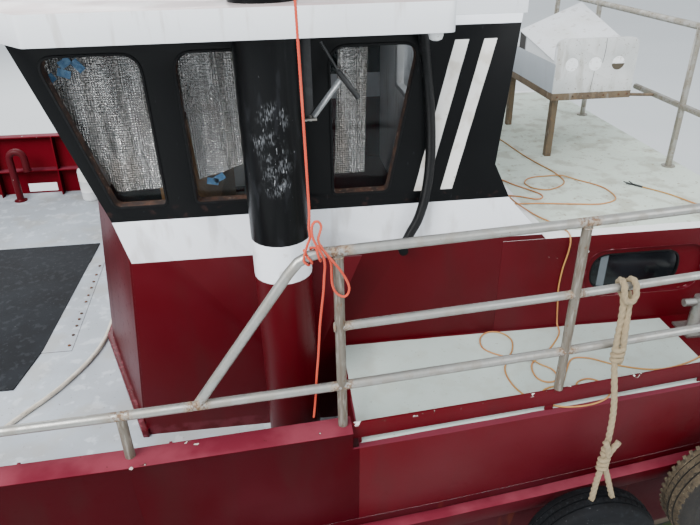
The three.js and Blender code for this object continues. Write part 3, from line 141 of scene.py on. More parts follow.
def add_node(tree: bpy.types.NodeTree, kind: str, settings: dict | None = None,
             links: dict | None = None) -> bpy.types.Node:
    """Adds a node with its settings and links.

    Args:
        tree: The material's node tree.
        kind: The node's type.
        settings: Values by input name or number, or by the node's own property.
        links: Output sockets by input name or number.

    Returns:
        The new node.
    """
    node = tree.nodes.new(kind)
    for key, value in (settings or {}).items():
        if isinstance(key, int) or key in node.inputs:
            node.inputs[key].default_value = value
        else:
            setattr(node, key, value)
    for key, socket in (links or {}).items():
        tree.links.new(socket, node.inputs[key])
    return node


# Where a layer of a finish shows. A layer shows where all of its places agree.
@dataclass(frozen=True)
class Patch:
    """Patches of a cloudy pattern, each about the given size in metres."""

    size: float
    threshold: float = 0.5
    soft: float = 0.04
    stretch: Triple = (1.0, 1.0, 1.0)


@dataclass(frozen=True)
class Zone:
    """A stretch along one axis, with an edge that wanders by ripple over the given wave length."""

    axis: Axis
    low: float | None = None
    high: float | None = None
    soft: float = 0.0015
    ripple: float = 0.0
    wave: float = 0.12
    slope: Triple = (0.0, 0.0, 0.0)


@dataclass(frozen=True)
class Spot:
    """The surroundings of a point."""

    centre: Triple
    radius: float
    soft: float = 0.02


@dataclass(frozen=True)
class Facing:
    """Faces turned towards a direction, from not at all at low to fully at high."""

    axis: Axis
    low: float = 0.5
    high: float = 0.7


Place = Patch | Zone | Spot | Facing


@dataclass(frozen=True)
class Layer:
    """Something that lies over the finish below it: paint, rust, dirt or bare metal.

    It shows where its place, or all of its places, agree, and near one of its spots where it has any.
    """

    where: Place | tuple[Place, ...]
    colour: str | None = None
    roughness: float | None = None
    metallic: float | None = None
    cover: float = 1.0
    near: tuple[Spot, ...] = ()


@dataclass(frozen=True)
class Relief:
    """Fine relief: the size of one grain and how deep it is, in metres, and its pattern."""

    size: float
    depth: float
    stretch: Triple = (1.0, 1.0, 1.0)
    pattern: Pattern = Pattern.GRAIN


@dataclass(frozen=True)
class Finish:
    """A finish: what the material is, and the layers that lie over it."""

    name: str
    slot: str
    colour: str
    roughness: float
    metallic: float = 0.0
    coat: float = 0.0
    layers: tuple[Layer, ...] = ()
    relief: tuple[Relief, ...] = ()
    alpha: float = 1.0
    on_surface: bool = False
    sheen: float = 0.0
    specular: float = 0.5

    def make(self) -> bpy.types.Material:
        """The Blender material, built once."""
        return bpy.data.materials.get(self.name) or FinishBuilder(self).material


class FinishBuilder:
    """Turns a finish into shader nodes on Object coordinates, or on the piece's own UV map."""

    def __init__(self, finish: Finish) -> None:
        """Builds the material.

        Args:
            finish: The finish, with its layers and reliefs.
        """
        self.material = bpy.data.materials.new(finish.name)
        self.material.use_nodes = True
        self.material.diffuse_color = linear(finish.colour)
        self.tree = self.material.node_tree
        self.shader = self.tree.nodes["Principled BSDF"]
        coords = add_node(self.tree, "ShaderNodeTexCoord")
        self.place = coords.outputs["UV" if finish.on_surface else "Object"]
        self.axes = add_node(self.tree, "ShaderNodeSeparateXYZ", links={0: self.place}).outputs
        start = {
            "Base Color": linear(finish.colour), "Roughness": finish.roughness, "Metallic": finish.metallic,
            "Coat Weight": finish.coat, "Coat Roughness": COAT_ROUGHNESS, "Alpha": finish.alpha,
            "Sheen Weight": finish.sheen, "Specular IOR Level": finish.specular,
        }
        for key, value in start.items():
            self.shader.inputs[key].default_value = value
        for layer in finish.layers:
            self.cover(layer)
        self.emboss(finish.relief)

    def cover(self, layer: Layer) -> None:
        """Lays one layer over the shader's colour, roughness and metal.

        Args:
            layer: The layer.
        """
        mask = self.mask(layer)
        over = {"Roughness": layer.roughness, "Metallic": layer.metallic}
        if layer.colour:
            over["Base Color"] = linear(layer.colour)
        for key, value in over.items():
            if value is not None:
                self.lay(self.shader.inputs[key], mask, value)

    def lay(self, target: Socket, mask: Socket, value: object) -> None:
        """Lays a colour or a number over what a shader's socket holds so far.

        Args:
            target: The shader's socket.
            mask: Where the new value shows.
            value: The linear colour or the number.
        """
        is_colour = isinstance(value, tuple)
        first, second, result = COLOUR_SLOTS if is_colour else NUMBER_SLOTS
        settings = {"data_type": "RGBA" if is_colour else "FLOAT", second: value}
        links = {0: mask}
        if target.is_linked:
            links[first] = target.links[0].from_socket
        else:
            settings[first] = target.default_value[:] if is_colour else target.default_value
        node = add_node(self.tree, "ShaderNodeMix", settings, links)
        self.tree.links.new(node.outputs[result], target)

    def emboss(self, reliefs: Sequence[Relief]) -> None:
        """Raises the fine reliefs, each on the one before it.

        Args:
            reliefs: The reliefs.
        """
        under: dict = {}
        for relief in reliefs:
            settings = {"Strength": 1.0, "Distance": relief.depth}
            bump = add_node(self.tree, "ShaderNodeBump", settings, {"Height": self.pattern(relief)} | under)
            under = {"Normal": bump.outputs["Normal"]}
        for key, socket in under.items():
            self.tree.links.new(socket, self.shader.inputs[key])

    def stretched(self, stretch: Point) -> Socket:
        """The coordinates, multiplied along each axis."""
        settings = {"operation": "MULTIPLY", 1: stretch}
        return add_node(self.tree, "ShaderNodeVectorMath", settings, {0: self.place}).outputs[0]

    def pattern(self, relief: Relief) -> Socket:
        """Makes the pattern of a relief.

        Args:
            relief: The relief.

        Returns:
            The pattern's height.
        """
        settings = {"Scale": 1 / relief.size} | PATTERN_SETTINGS[relief.pattern]
        links = {"Vector": self.stretched(relief.stretch)}
        return add_node(self.tree, relief.pattern.value, settings, links).outputs[0]

    def mask(self, layer: Layer) -> Socket:
        """Where a layer shows.

        Args:
            layer: The layer, with its places.

        Returns:
            A socket that is 1 where it shows and 0 where it doesn't.
        """
        places = layer.where if isinstance(layer.where, tuple) else (layer.where,)
        shows = self.folded("MULTIPLY", [part for place in places for part in self.parts(place)])
        if layer.near:
            close = self.folded("MAXIMUM", [self.parts(spot)[0] for spot in layer.near])
            shows = self.worked("MULTIPLY", shows, close)
        return shows if layer.cover == 1.0 else self.worked("MULTIPLY", shows, layer.cover)

    def folded(self, operation: str, masks: Sequence[Socket]) -> Socket:
        """Works several masks into one.

        Args:
            operation: The operation between each two.
            masks: The masks, at least one.

        Returns:
            The one mask.
        """
        result = masks[0]
        for mask in masks[1:]:
            result = self.worked(operation, result, mask)
        return result

    def worked(self, operation: str, one: Socket, other: object) -> Socket:
        """Works two masks into one, or a mask and a number.

        Args:
            operation: The operation between them.
            one: The first mask.
            other: The second mask, or a number.

        Returns:
            The one mask.
        """
        settings: dict = {"operation": operation}
        links = {0: one}
        (settings if isinstance(other, float) else links)[1] = other
        return add_node(self.tree, "ShaderNodeMath", settings, links).outputs[0]

    def ranged(self, socket: Socket, low: float, high: float) -> Socket:
        """A value turned to 0 at low and 1 at high, smoothly."""
        settings = {"interpolation_type": "SMOOTHSTEP", 1: low, 2: high, 3: 0.0, 4: 1.0}
        return add_node(self.tree, "ShaderNodeMapRange", settings, {0: socket}).outputs[0]

    def parts(self, place: Place) -> list[Socket]:
        """The masks that one place of a layer needs.

        Args:
            place: The place.

        Returns:
            One mask, or two for a zone with both of its ends.
        """
        if isinstance(place, Patch):
            settings = {"Scale": 1 / place.size, "Detail": PATCH_DETAIL}
            links = {"Vector": self.stretched(place.stretch)}
            noise = add_node(self.tree, "ShaderNodeTexNoise", settings, links)
            return [self.ranged(noise.outputs[0], place.threshold - place.soft, place.threshold + place.soft)]
        if isinstance(place, Spot):
            settings = {"operation": "DISTANCE", 1: place.centre}
            away = add_node(self.tree, "ShaderNodeVectorMath", settings, {0: self.place})
            return [self.ranged(away.outputs["Value"], place.radius + place.soft, place.radius)]
        if isinstance(place, Facing):
            normal = add_node(self.tree, "ShaderNodeNewGeometry").outputs["Normal"]
            turned = add_node(self.tree, "ShaderNodeSeparateXYZ", links={0: normal})
            return [self.ranged(turned.outputs[place.axis.value], place.low, place.high)]
        return self.zone(place)

    def zone(self, place: Zone) -> list[Socket]:
        """The masks of a stretch along an axis.

        Args:
            place: The zone.

        Returns:
            One mask for each of its ends.
        """
        along = self.axes[place.axis.value]
        for axis, share in zip(self.axes, place.slope):
            if share:
                along = self.worked("ADD", along, self.worked("MULTIPLY", axis, -share))
        if place.ripple:
            settings = {"Scale": 1 / place.wave, "Detail": RIPPLE_DETAIL}
            noise = add_node(self.tree, "ShaderNodeTexNoise", settings, {"Vector": self.place})
            centred = self.worked("SUBTRACT", noise.outputs[0], 0.5)
            along = self.worked("ADD", along, self.worked("MULTIPLY", centred, 2 * place.ripple))
        found = []
        if place.low is not None:
            found.append(self.ranged(along, place.low - place.soft, place.low + place.soft))
        if place.high is not None:
            found.append(self.ranged(along, place.high + place.soft, place.high - place.soft))
        return found


# Modelling tools, on Blender's operators
def deselect() -> None:
    """Leaves edit mode and deselects everything."""
    if bpy.context.mode != "OBJECT":
        bpy.ops.object.mode_set(mode="OBJECT")
    bpy.ops.object.select_all(action="DESELECT")


def pick(*objects: Piece) -> None:
    """Selects these objects only, the first one active.

    Args:
        *objects: The objects.
    """
    deselect()
    for each in objects:
        each.select_set(True)
    bpy.context.view_layer.objects.active = objects[0]


def placed(name: str, data: bpy.types.ID) -> Piece:
    """Puts a new object in the scene.

    Args:
        name: Its name.
        data: Its mesh, curve, camera or light.

    Returns:
        The object.
    """
    piece = bpy.data.objects.new(name, data)
    bpy.context.scene.collection.objects.link(piece)
    return piece


def applied(name: str) -> Piece:
    """Names the active object and moves its place into its mesh.

    Args:
        name: The piece's name.

    Returns:
        The object.
    """
    piece = bpy.context.object
    bpy.ops.object.transform_apply(location=True, rotation=True, scale=True)
    piece.name = piece.data.name = name
    return piece


def bevelled(piece: Piece, width: float, segments: int = 2,
             angle: float = SMOOTH_ANGLE) -> Piece:
    """Rounds a piece's edges and shades it smooth.

    Args:
        piece: The piece, a mesh.
        width: How wide the rounding is, in metres. None is made at 0.
        segments: Steps in the rounding.
        angle: The least angle of an edge that is rounded, in degrees.

    Returns:
        The same piece.
    """
    pick(piece)
    if width:
        bevel = piece.modifiers.new("edges", "BEVEL")
        bevel.width, bevel.segments = width, segments
        bevel.limit_method, bevel.angle_limit = "ANGLE", math.radians(angle)
        bpy.ops.object.modifier_apply(modifier=bevel.name)
    bpy.ops.object.shade_smooth_by_angle(angle=math.radians(angle))
    return piece


def block(name: str, low: Point, high: Point, edge: float = 0.003) -> Piece:
    """Makes a block with rounded edges.

    Args:
        name: The piece's name.
        low: Its corner at the low end of each axis.
        high: Its corner at the high end of each axis.
        edge: How far its edges are rounded.

    Returns:
        The block.
    """
    deselect()
    low, high = Vector(low), Vector(high)
    bpy.ops.mesh.primitive_cube_add(size=1, location=(low + high) / 2, scale=high - low)
    return bevelled(applied(name), edge)


def bar(name: str, start: Point, end: Point, radius: float, sides: int = 20,
        edge: float = 0.0) -> Piece:
    """Makes a round bar between two points.

    Args:
        name: The piece's name.
        start: The middle of one end.
        end: The middle of the other end.
        radius: Half its thickness.
        sides: Sides of its section.
        edge: How far its rims are rounded.

    Returns:
        The bar.
    """
    deselect()
    start, end = Vector(start), Vector(end)
    run = end - start
    turn = run.to_track_quat("Z", "Y").to_euler()
    bpy.ops.mesh.primitive_cone_add(vertices=sides, radius1=radius, radius2=radius, depth=run.length,
                                    location=(start + end) / 2, rotation=turn)
    return bevelled(applied(name), edge, angle=PIPE_ANGLE)


def close_outwards() -> None:
    """Turns all faces of the mesh in edit mode outwards and leaves edit mode."""
    bpy.ops.mesh.select_all(action="SELECT")
    bpy.ops.mesh.normals_make_consistent(inside=False)
    bpy.ops.object.mode_set(mode="OBJECT")


def thickened(move: Point) -> None:
    """Gives the active flat piece its thickness.

    Args:
        move: From its first face to the other.
    """
    bpy.ops.object.mode_set(mode="EDIT")
    bpy.ops.mesh.select_all(action="SELECT")
    bpy.ops.mesh.extrude_region_move(TRANSFORM_OT_translate={"value": move})
    close_outwards()


def plate(name: str, outline: Sequence[Point], axis: Axis, low: float, high: float,
          edge: float = 0.002) -> Piece:
    """Makes a plate with an outline, extruded along an axis.

    Args:
        name: The piece's name.
        outline: Corners on the other two axes, in their order.
        axis: The axis that the plate is thick along.
        low: Where it starts on that axis.
        high: Where it ends.
        edge: How far its edges are rounded.

    Returns:
        The plate.
    """
    deselect()
    bpy.ops.mesh.primitive_circle_add(vertices=len(outline), fill_type="NGON")
    piece = bpy.context.object
    for vertex, corner in zip(piece.data.vertices, outline):
        place = list(corner)
        place.insert(axis.value, low)
        vertex.co = place
    move = [0.0, 0.0, 0.0]
    move[axis.value] = high - low
    thickened(move)
    return bevelled(applied(name), edge)


def spun(name: str, section: Sequence[Point], centre: Point, axis: Axis, steps: int = 48) -> Piece:
    """Makes a turned shape: a section of (out, along) points spun about an axis through a centre.

    Args:
        name: The piece's name.
        section: Distance from the axis and place along it. The section is closed.
        centre: The middle of the turned shape.
        axis: The axis it is spun about.
        steps: Steps in a full turn.

    Returns:
        The turned shape.
    """
    deselect()
    bpy.ops.mesh.primitive_circle_add(vertices=len(section), fill_type="NOTHING")
    piece = bpy.context.object
    out_axis = (axis.value + 1) % 3
    for vertex, (out, along) in zip(piece.data.vertices, section):
        place = Vector(centre)
        place[out_axis] += out
        place[axis.value] += along
        vertex.co = place
    direction = [0.0, 0.0, 0.0]
    direction[axis.value] = 1.0
    bpy.ops.object.mode_set(mode="EDIT")
    bpy.ops.mesh.select_all(action="SELECT")
    bpy.ops.mesh.spin(steps=steps, angle=2 * math.pi, center=centre, axis=direction)
    bpy.ops.mesh.select_all(action="SELECT")
    bpy.ops.mesh.remove_doubles(threshold=MERGE)
    close_outwards()
    return bevelled(applied(name), 0.0)


def rounded(corners: Sequence[Point], steps: int = 6) -> list[tuple[float, float]]:
    """Rounds the corners of an outline.

    Args:
        corners: Places on two axes, each with the radius of its corner.
        steps: Steps in a corner.

    Returns:
        The outline's points.
    """
    points = []
    for i, (u, v, radius) in enumerate(corners):
        here = Vector((u, v))
        before, after = Vector(corners[i - 1][:2]), Vector(corners[(i + 1) % len(corners)][:2])
        if not radius:
            points.append((u, v))
            continue
        start = here + (before - here).normalized() * radius
        end = here + (after - here).normalized() * radius
        for k in range(steps + 1):
            t = k / steps
            place = start * (1 - t) ** 2 + here * 2 * t * (1 - t) + end * t * t
            points.append((place.x, place.y))
    return points


def frame_of(name: str, outline: Sequence[Point], width: float, axis: Axis, low: float, high: float,
             edge: float = 0.0015) -> Piece:
    """Makes a flat frame that runs inside an outline: its plate with the middle cut away.

    Args:
        name: The piece's name.
        outline: The outer outline.
        width: How wide the frame is.
        axis: The axis it is thick along.
        low: Where it starts on that axis.
        high: Where it ends.
        edge: How far its edges are rounded.

    Returns:
        The frame.
    """
    piece = plate(name, outline, axis, low, high, 0.0)
    ends = [p.index for p in piece.data.polygons if abs(p.normal[axis.value]) > 0.9]
    pick(piece)
    bpy.ops.object.mode_set(mode="EDIT")
    bpy.ops.mesh.select_mode(type="FACE")
    bpy.ops.mesh.select_all(action="DESELECT")
    bpy.ops.object.mode_set(mode="OBJECT")
    for index in ends:
        piece.data.polygons[index].select = True
    bpy.ops.object.mode_set(mode="EDIT")
    bpy.ops.mesh.inset(thickness=width, use_even_offset=True)
    bpy.ops.mesh.bridge_edge_loops()
    close_outwards()
    return bevelled(piece, edge)


def joined(name: str, parts: Sequence[Piece]) -> Piece:
    """Joins parts into one piece.

    Args:
        name: The piece's name.
        parts: The parts, at least one.

    Returns:
        The piece.
    """
    pick(*parts)
    if len(parts) > 1:
        bpy.ops.object.join()
    piece = bpy.context.object
    piece.name = piece.data.name = name
    return piece


def copied(source: Piece, mirror: bool) -> Piece:
    """Copies a piece with its own mesh, mirrored to the other side where asked.

    Args:
        source: The piece.
        mirror: Whether it is mirrored across the centreline.

    Returns:
        The copy.
    """
    piece = placed(source.name + "_copy", source.data.copy())
    if mirror:
        piece.data.transform(Matrix.Scale(-1, 4, (0, 1, 0)))
        piece.data.flip_normals()
    return piece


def built(name: str, points: np.ndarray, faces: Sequence[Sequence[int]]) -> Piece:
    """Makes a piece from points and faces, for cords and cloth.

    Args:
        name: The piece's name.
        points: The points, one a row.
        faces: The faces, as numbers of points.

    Returns:
        The piece, shaded smooth.
    """
    mesh = bpy.data.meshes.new(name)
    mesh.from_pydata([tuple(p) for p in points], [], faces)
    mesh.update()
    piece = placed(name, mesh)
    mesh.shade_smooth()
    return piece


def finished(piece: Piece, finish: Finish, body: str = "vessel",
             stands_for: Sequence[str] = ()) -> Piece:
    """Gives a piece its material and body, and says so.

    Args:
        piece: The piece, in its place.
        finish: What it is made of.
        body: The CAD body that it moves with.
        stands_for: The CAD nodes that it replaces.

    Returns:
        The same piece.
    """
    piece.data.materials.clear()
    piece.data.materials.append(finish.make())
    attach(piece, body)
    if stands_for:
        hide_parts(*stands_for)
    LOG.info("%s: %s, %d faces, on %s", piece.name, finish.name, len(piece.data.polygons), body)
    return piece


# Runs of cord and pipe. A run is first drawn with this many steps between two points, none of which
# counts as nearer to the next than this.
SPAN_STEPS = 24
NEAREST = 1e-6
# The direction that a tube's seam is turned by, and how round a strand of laid rope is
SEAM_SIDE = (0.0, 0.3, 1.0)
STRAND_BULGE = 0.8


def smooth_path(points: Sequence[Point], step: float) -> np.ndarray:
    """Makes a smooth run through points, with even steps.

    Args:
        points: The points that the run passes, in metres.
        step: The length of a step.

    Returns:
        The points of the run.
    """
    p = np.array(points, float)
    p = np.vstack([2 * p[0] - p[1], p, 2 * p[-1] - p[-2]])
    spans = np.maximum(np.linalg.norm(np.diff(p, axis=0), axis=1), NEAREST)
    knots = np.concatenate([[0], np.cumsum(spans**0.5)])
    run = []
    for i in range(1, len(p) - 2):
        t = np.linspace(knots[i], knots[i + 1], SPAN_STEPS, endpoint=False)[:, None]
        t0, t1, t2, t3 = knots[i - 1 : i + 3]
        a1 = (t1 - t) / (t1 - t0) * p[i - 1] + (t - t0) / (t1 - t0) * p[i]
        a2 = (t2 - t) / (t2 - t1) * p[i] + (t - t1) / (t2 - t1) * p[i + 1]
        a3 = (t3 - t) / (t3 - t2) * p[i + 1] + (t - t2) / (t3 - t2) * p[i + 2]
        b1 = (t2 - t) / (t2 - t0) * a1 + (t - t0) / (t2 - t0) * a2
        b2 = (t3 - t) / (t3 - t1) * a2 + (t - t1) / (t3 - t1) * a3
        run.append((t2 - t) / (t2 - t1) * b1 + (t - t1) / (t2 - t1) * b2)
    run = np.vstack([*run, p[-2:-1]])
    gone = np.concatenate([[0], np.cumsum(np.linalg.norm(np.diff(run, axis=0), axis=1))])
    even = np.linspace(0, gone[-1], max(2, int(round(gone[-1] / step)) + 1))
    return np.column_stack([np.interp(even, gone, run[:, k]) for k in range(3)])


def swept(name: str, path: np.ndarray, sides: int, reach: Section) -> Piece:
    """Makes a tube along a run, closed at both ends, with a section that may change along it.

    Args:
        name: The piece's name.
        path: The run's points.
        sides: Points in a section.
        reach: The section's radius at each angle, at a place along the run in metres.

    Returns:
        The tube, with a UV map in metres: across the turn and along the run.
    """
    count = len(path)
    tangents = np.gradient(path, axis=0)
    tangents /= np.linalg.norm(tangents, axis=1)[:, None]
    side = np.cross(tangents[0], SEAM_SIDE)
    gone = np.concatenate([[0], np.cumsum(np.linalg.norm(np.diff(path, axis=0), axis=1))])
    angles = np.linspace(0, 2 * math.pi, sides, endpoint=False)
    rings = np.empty((count, sides, 3))
    for i in range(count):
        side = side - tangents[i] * side.dot(tangents[i])
        side /= np.linalg.norm(side)
        other = np.cross(tangents[i], side)
        radii = reach(angles, gone[i])[:, None]
        rings[i] = path[i] + radii * (np.cos(angles)[:, None] * side + np.sin(angles)[:, None] * other)
    points = rings.reshape(-1, 3)
    faces = [
        (i * sides + j, i * sides + (j + 1) % sides, (i + 1) * sides + (j + 1) % sides, (i + 1) * sides + j)
        for i in range(count - 1)
        for j in range(sides)
    ]
    faces.append(tuple(reversed(range(sides))))
    faces.append(tuple((count - 1) * sides + j for j in range(sides)))
    piece = built(name, points, faces)
    lay_map(piece, gone, sides)
    return piece


def lay_map(piece: Piece, gone: np.ndarray, sides: int) -> None:
    """Gives a tube its UV map: the share of a turn, and metres along the run.

    Args:
        piece: The tube.
        gone: How far along the run each section stands.
        sides: Points in a section.
    """
    around = np.tile(np.arange(sides) / sides, len(gone))
    along = np.repeat(gone, sides)
    corners = np.empty(len(piece.data.loops), np.int32)
    piece.data.loops.foreach_get("vertex_index", corners)
    pairs = np.column_stack([around[corners], along[corners]])
    quads = (len(gone) - 1) * sides * 4
    seam = pairs[:quads].reshape(-1, 4, 2)
    wrapped = (seam[:, :, 0].max(axis=1) - seam[:, :, 0].min(axis=1)) > 0.5
    seam[wrapped, :, 0] = np.where(seam[wrapped, :, 0] < 0.5, seam[wrapped, :, 0] + 1, seam[wrapped, :, 0])
    uv = piece.data.uv_layers.new(name="run")
    uv.data.foreach_set("uv", pairs.astype(np.float32).ravel())


def round_section(radius: float) -> Section:
    """A plain round section."""
    return lambda angles, gone: np.full(len(angles), radius)


def laid_section(radius: float, strands: int = 3, pitch: float = 3.4, groove: float = 0.28) -> Section:
    """The section of laid rope.

    Args:
        radius: Half its thickness.
        strands: Strands in it.
        pitch: Diameters along the rope in which a strand turns once.
        groove: Depth of the grooves between strands, as a share of the radius.

    Returns:
        The section.
    """

    def reach(angles: np.ndarray, gone: float) -> np.ndarray:
        """The radius at each angle."""
        turn = angles - 2 * math.pi * gone / (2 * radius * pitch)
        return radius * (1 - groove + groove * np.abs(np.cos(strands * turn / 2)) ** STRAND_BULGE)

    return reach


def ribbed_section(radius: float, pitch: float, depth: float) -> Section:
    """The section of corrugated conduit."""
    middle, swing = radius - depth / 2, depth / 2
    return lambda angles, gone: np.full(len(angles), middle + swing * math.cos(2 * math.pi * gone / pitch))


def pipe_run(name: str, points: Sequence[Point], radius: float, sides: int = 20) -> Piece:
    """Makes a rigid pipe along points, mitred at its corners.

    Args:
        name: The piece's name.
        points: The points, in metres.
        radius: Half its thickness.
        sides: Sides of its section.

    Returns:
        The pipe.
    """
    line = bpy.data.curves.new(name, "CURVE")
    line.dimensions = "3D"
    line.bevel_depth, line.bevel_resolution = radius, max(1, sides // 4 - 1)
    line.use_fill_caps = True
    spline = line.splines.new("POLY")
    spline.points.add(len(points) - 1)
    for knot, place in zip(spline.points, points):
        knot.co = (*place, 1.0)
    piece = placed(name, line)
    pick(piece)
    bpy.ops.object.convert(target="MESH")
    piece = bpy.context.object
    piece.name = name
    bpy.ops.object.shade_smooth_by_angle(angle=math.radians(PIPE_ANGLE))
    return piece


# What the boat is painted and made of. A pattern is stretched downwards for what runs down a wall, and
# UP keeps a layer to the faces that look up.
LONG_DRIPS = (1, 1, 0.15)
DRIPS = (1, 1, 0.3)
UP = Facing(Z, 0.7, 0.85)


def worn(faded: str = "#84515b") -> tuple[Layer, ...]:
    """What weather leaves on gloss paint.

    Args:
        faded: The faded colour of the paint.

    Returns:
        Layers of fading, grime and dull patches.
    """
    return (
        Layer(Patch(0.9, 0.56, 0.14), faded, 0.42, cover=0.06),
        Layer(Patch(0.22, 0.6, 0.1, (1, 1, 0.25)), "#2b2320", 0.6, cover=0.175),
        Layer(Patch(0.035, 0.66, 0.05), None, 0.62, cover=0.6),
    )


def chipped(size: float, threshold: float, under: str = "#d9d4cf", *zone: Place) -> tuple[Layer, ...]:
    """Chips down to the primer, each with a dark rim of bare and rusting steel.

    Args:
        size: How big a chip is, in metres.
        threshold: How rare the chips are, from 0.5 to about 0.75.
        under: The primer's colour.
        *zone: The places that the chips keep to.

    Returns:
        The rim's layer and the primer's.
    """
    return (
        Layer((*zone, Patch(size, threshold - 0.008, 0.006)), "#3a2018", 0.8),
        Layer((*zone, Patch(size, threshold + 0.01, 0.006)), under, 0.7),
    )


MAROON = "#4c020c"
WHITE = "#edf0f5"
BLACK = "#050607"
GREY_DECK = "#bfc9bd"

# Reliefs that several finishes share: plate pulled in by its welds, sprayed paint, sand in deck paint
PLATE_WAVES = Relief(0.35, 0.0035)
ORANGE_PEEL = Relief(0.006, 0.0003)
DECK_GRIT = Relief(0.0035, 0.0011)

# Sprayed gloss enamel on steel plate: deep colour, soft reflections, faint waves in the plate
MAROON_ENAMEL = Finish(
    "maroon_gloss_enamel", "hull_paint", MAROON, 0.4, specular=0.15,
    layers=(*worn(), *chipped(0.05, 0.735)), relief=(PLATE_WAVES, ORANGE_PEEL),
)

# Topsides in the same maroon enamel, its colour darkened as painted shade of the hull side, antifouling under
# the water, and the painted working deck inside
HULL_SIDE = Finish(
    # painted shade: the base is darker than the maroon enamel
    "hull_enamel_and_antifouling", "hull_paint", "#360108", 0.5, specular=0.03,
    layers=(
        *worn(),
        Layer((Patch(0.07, 0.63, 0.06, (1, 1, 0.12)), Zone(Z, 0.1, 0.9, 0.2)),
              "#6a3420", 0.7, cover=0.35),
        Layer(Zone(Z, None, 0.16, 0.01, 0.008, 0.3), "#6f6a5c", 0.7, cover=0.55),
        Layer(Zone(Z, None, 0.1, 0.004), "#23262b", 0.75),
        Layer((Zone(Z, -0.06, 0.1, 0.05, 0.04, 0.2), Patch(0.06, 0.48, 0.08)),
              "#3c4527", 0.85, cover=0.8),
        Layer((Zone(Z, None, -0.1, 0.05), Patch(0.3, 0.5, 0.12)), "#3f3d3a", 0.85, cover=0.7),
        *(
            Layer((UP, Zone(Z, 0.9, None, 0.01), *patch), colour, roughness, cover=cover)
            for patch, colour, roughness, cover in (
                ((), "#adb4bb", 0.72, 1.0),
                ((Patch(0.5, 0.52, 0.12),), "#90959a", 0.66, 0.4),
                ((Patch(0.09, 0.6, 0.05),), "#ccd2d8", 0.75, 0.5),
                ((Patch(0.3, 0.57, 0.1),), "#a09a8c", 0.72, 0.35),
                ((Patch(0.025, 0.69, 0.03),), "#6b5a4d", 0.85, 0.5),
            )
        ),
    ),
    relief=(PLATE_WAVES, Relief(0.004, 0.0006)),
)

# Bulwarks: enamel both sides, the outer faces darkened as painted shade and the inward faces lighter as
# painted light, with a cap that hands, ropes and sun have rubbed pink, its up-facing top also lightened as a
# painted highlight
BULWARK_PAINT = Finish(
    "bulwark_enamel", "hull_paint", "#390108", 0.5, specular=0.03,
    layers=(
        *worn(),
        # painted light: the inward-facing faces lighter than the shaded outer faces
        *(
            Layer((end, Facing(Y, *turned)), "#620915", 0.42, cover=0.85)
            for end, turned in ((Zone(Y, 1.0), (-0.5, -0.8)), (Zone(Y, None, -1.0), (0.5, 0.8)))
        ),
        # rubbed pink wear, together with a painted highlight on every up-facing top
        Layer(Facing(Z, 0.6, 0.8), "#6a2230", 0.5, cover=0.75),
        Layer((Facing(Z, 0.6, 0.8), Patch(0.3, 0.52, 0.14)), "#8b4450", 0.6, cover=0.5),
        *chipped(0.06, 0.7, "#b9a9a5", Zone(Z, 1.58, None, 0.01)),
        Layer((Patch(0.05, 0.68, 0.06, (1, 1, 0.1)), Zone(Z, 0.95, 1.1, 0.1)),
              "#4e2416", 0.8, cover=0.35),
    ),
    relief=(PLATE_WAVES, ORANGE_PEEL),
)


def deck_layers(tone: str = GREY_DECK) -> tuple[Layer, ...]:
    """Stains and wear of a grey painted deck.

    Args:
        tone: The paint's colour.

    Returns:
        The layers, all on faces that look up.
    """
    up = Facing(Z, 0.75, 0.9)
    return (
        Layer(up, tone, 0.72),
        Layer((up, Patch(0.45, 0.5, 0.12)), "#c8d1c5", 0.7, cover=0.7),
        Layer((up, Patch(0.13, 0.56, 0.08)), "#9a9788", 0.78, cover=0.55),
        Layer((up, Patch(0.03, 0.66, 0.03)), "#85745c", 0.8, cover=0.55),
        Layer((up, Patch(0.012, 0.7, 0.02)), "#5e5548", 0.8, cover=0.5),
    )


# The casing: enamel on its sides, grey non-slip paint rolled on its top and a white painted margin
CASING_PAINT = Finish(
    "casing_enamel_and_deck_paint", "deck_paint", MAROON, 0.4, specular=0.15,
    layers=(
        *worn(),
        *chipped(0.045, 0.7, "#c9c2bd", Zone(Z, 1.9, 2.02, 0.03)),
        *deck_layers(),
        *(
            Layer((Facing(Z, 0.7, 0.9), Zone(Z, 2.04), edge), "#dfe0df", 0.6)
            for edge in (
                Zone(Y, None, -1.515, 0.004, 0.015, 0.2), Zone(Y, 1.515, None, 0.004, 0.015, 0.2),
                Zone(X, None, 5.985, 0.004, 0.015, 0.2),
            )
        ),
    ),
    relief=(PLATE_WAVES, DECK_GRIT),
)
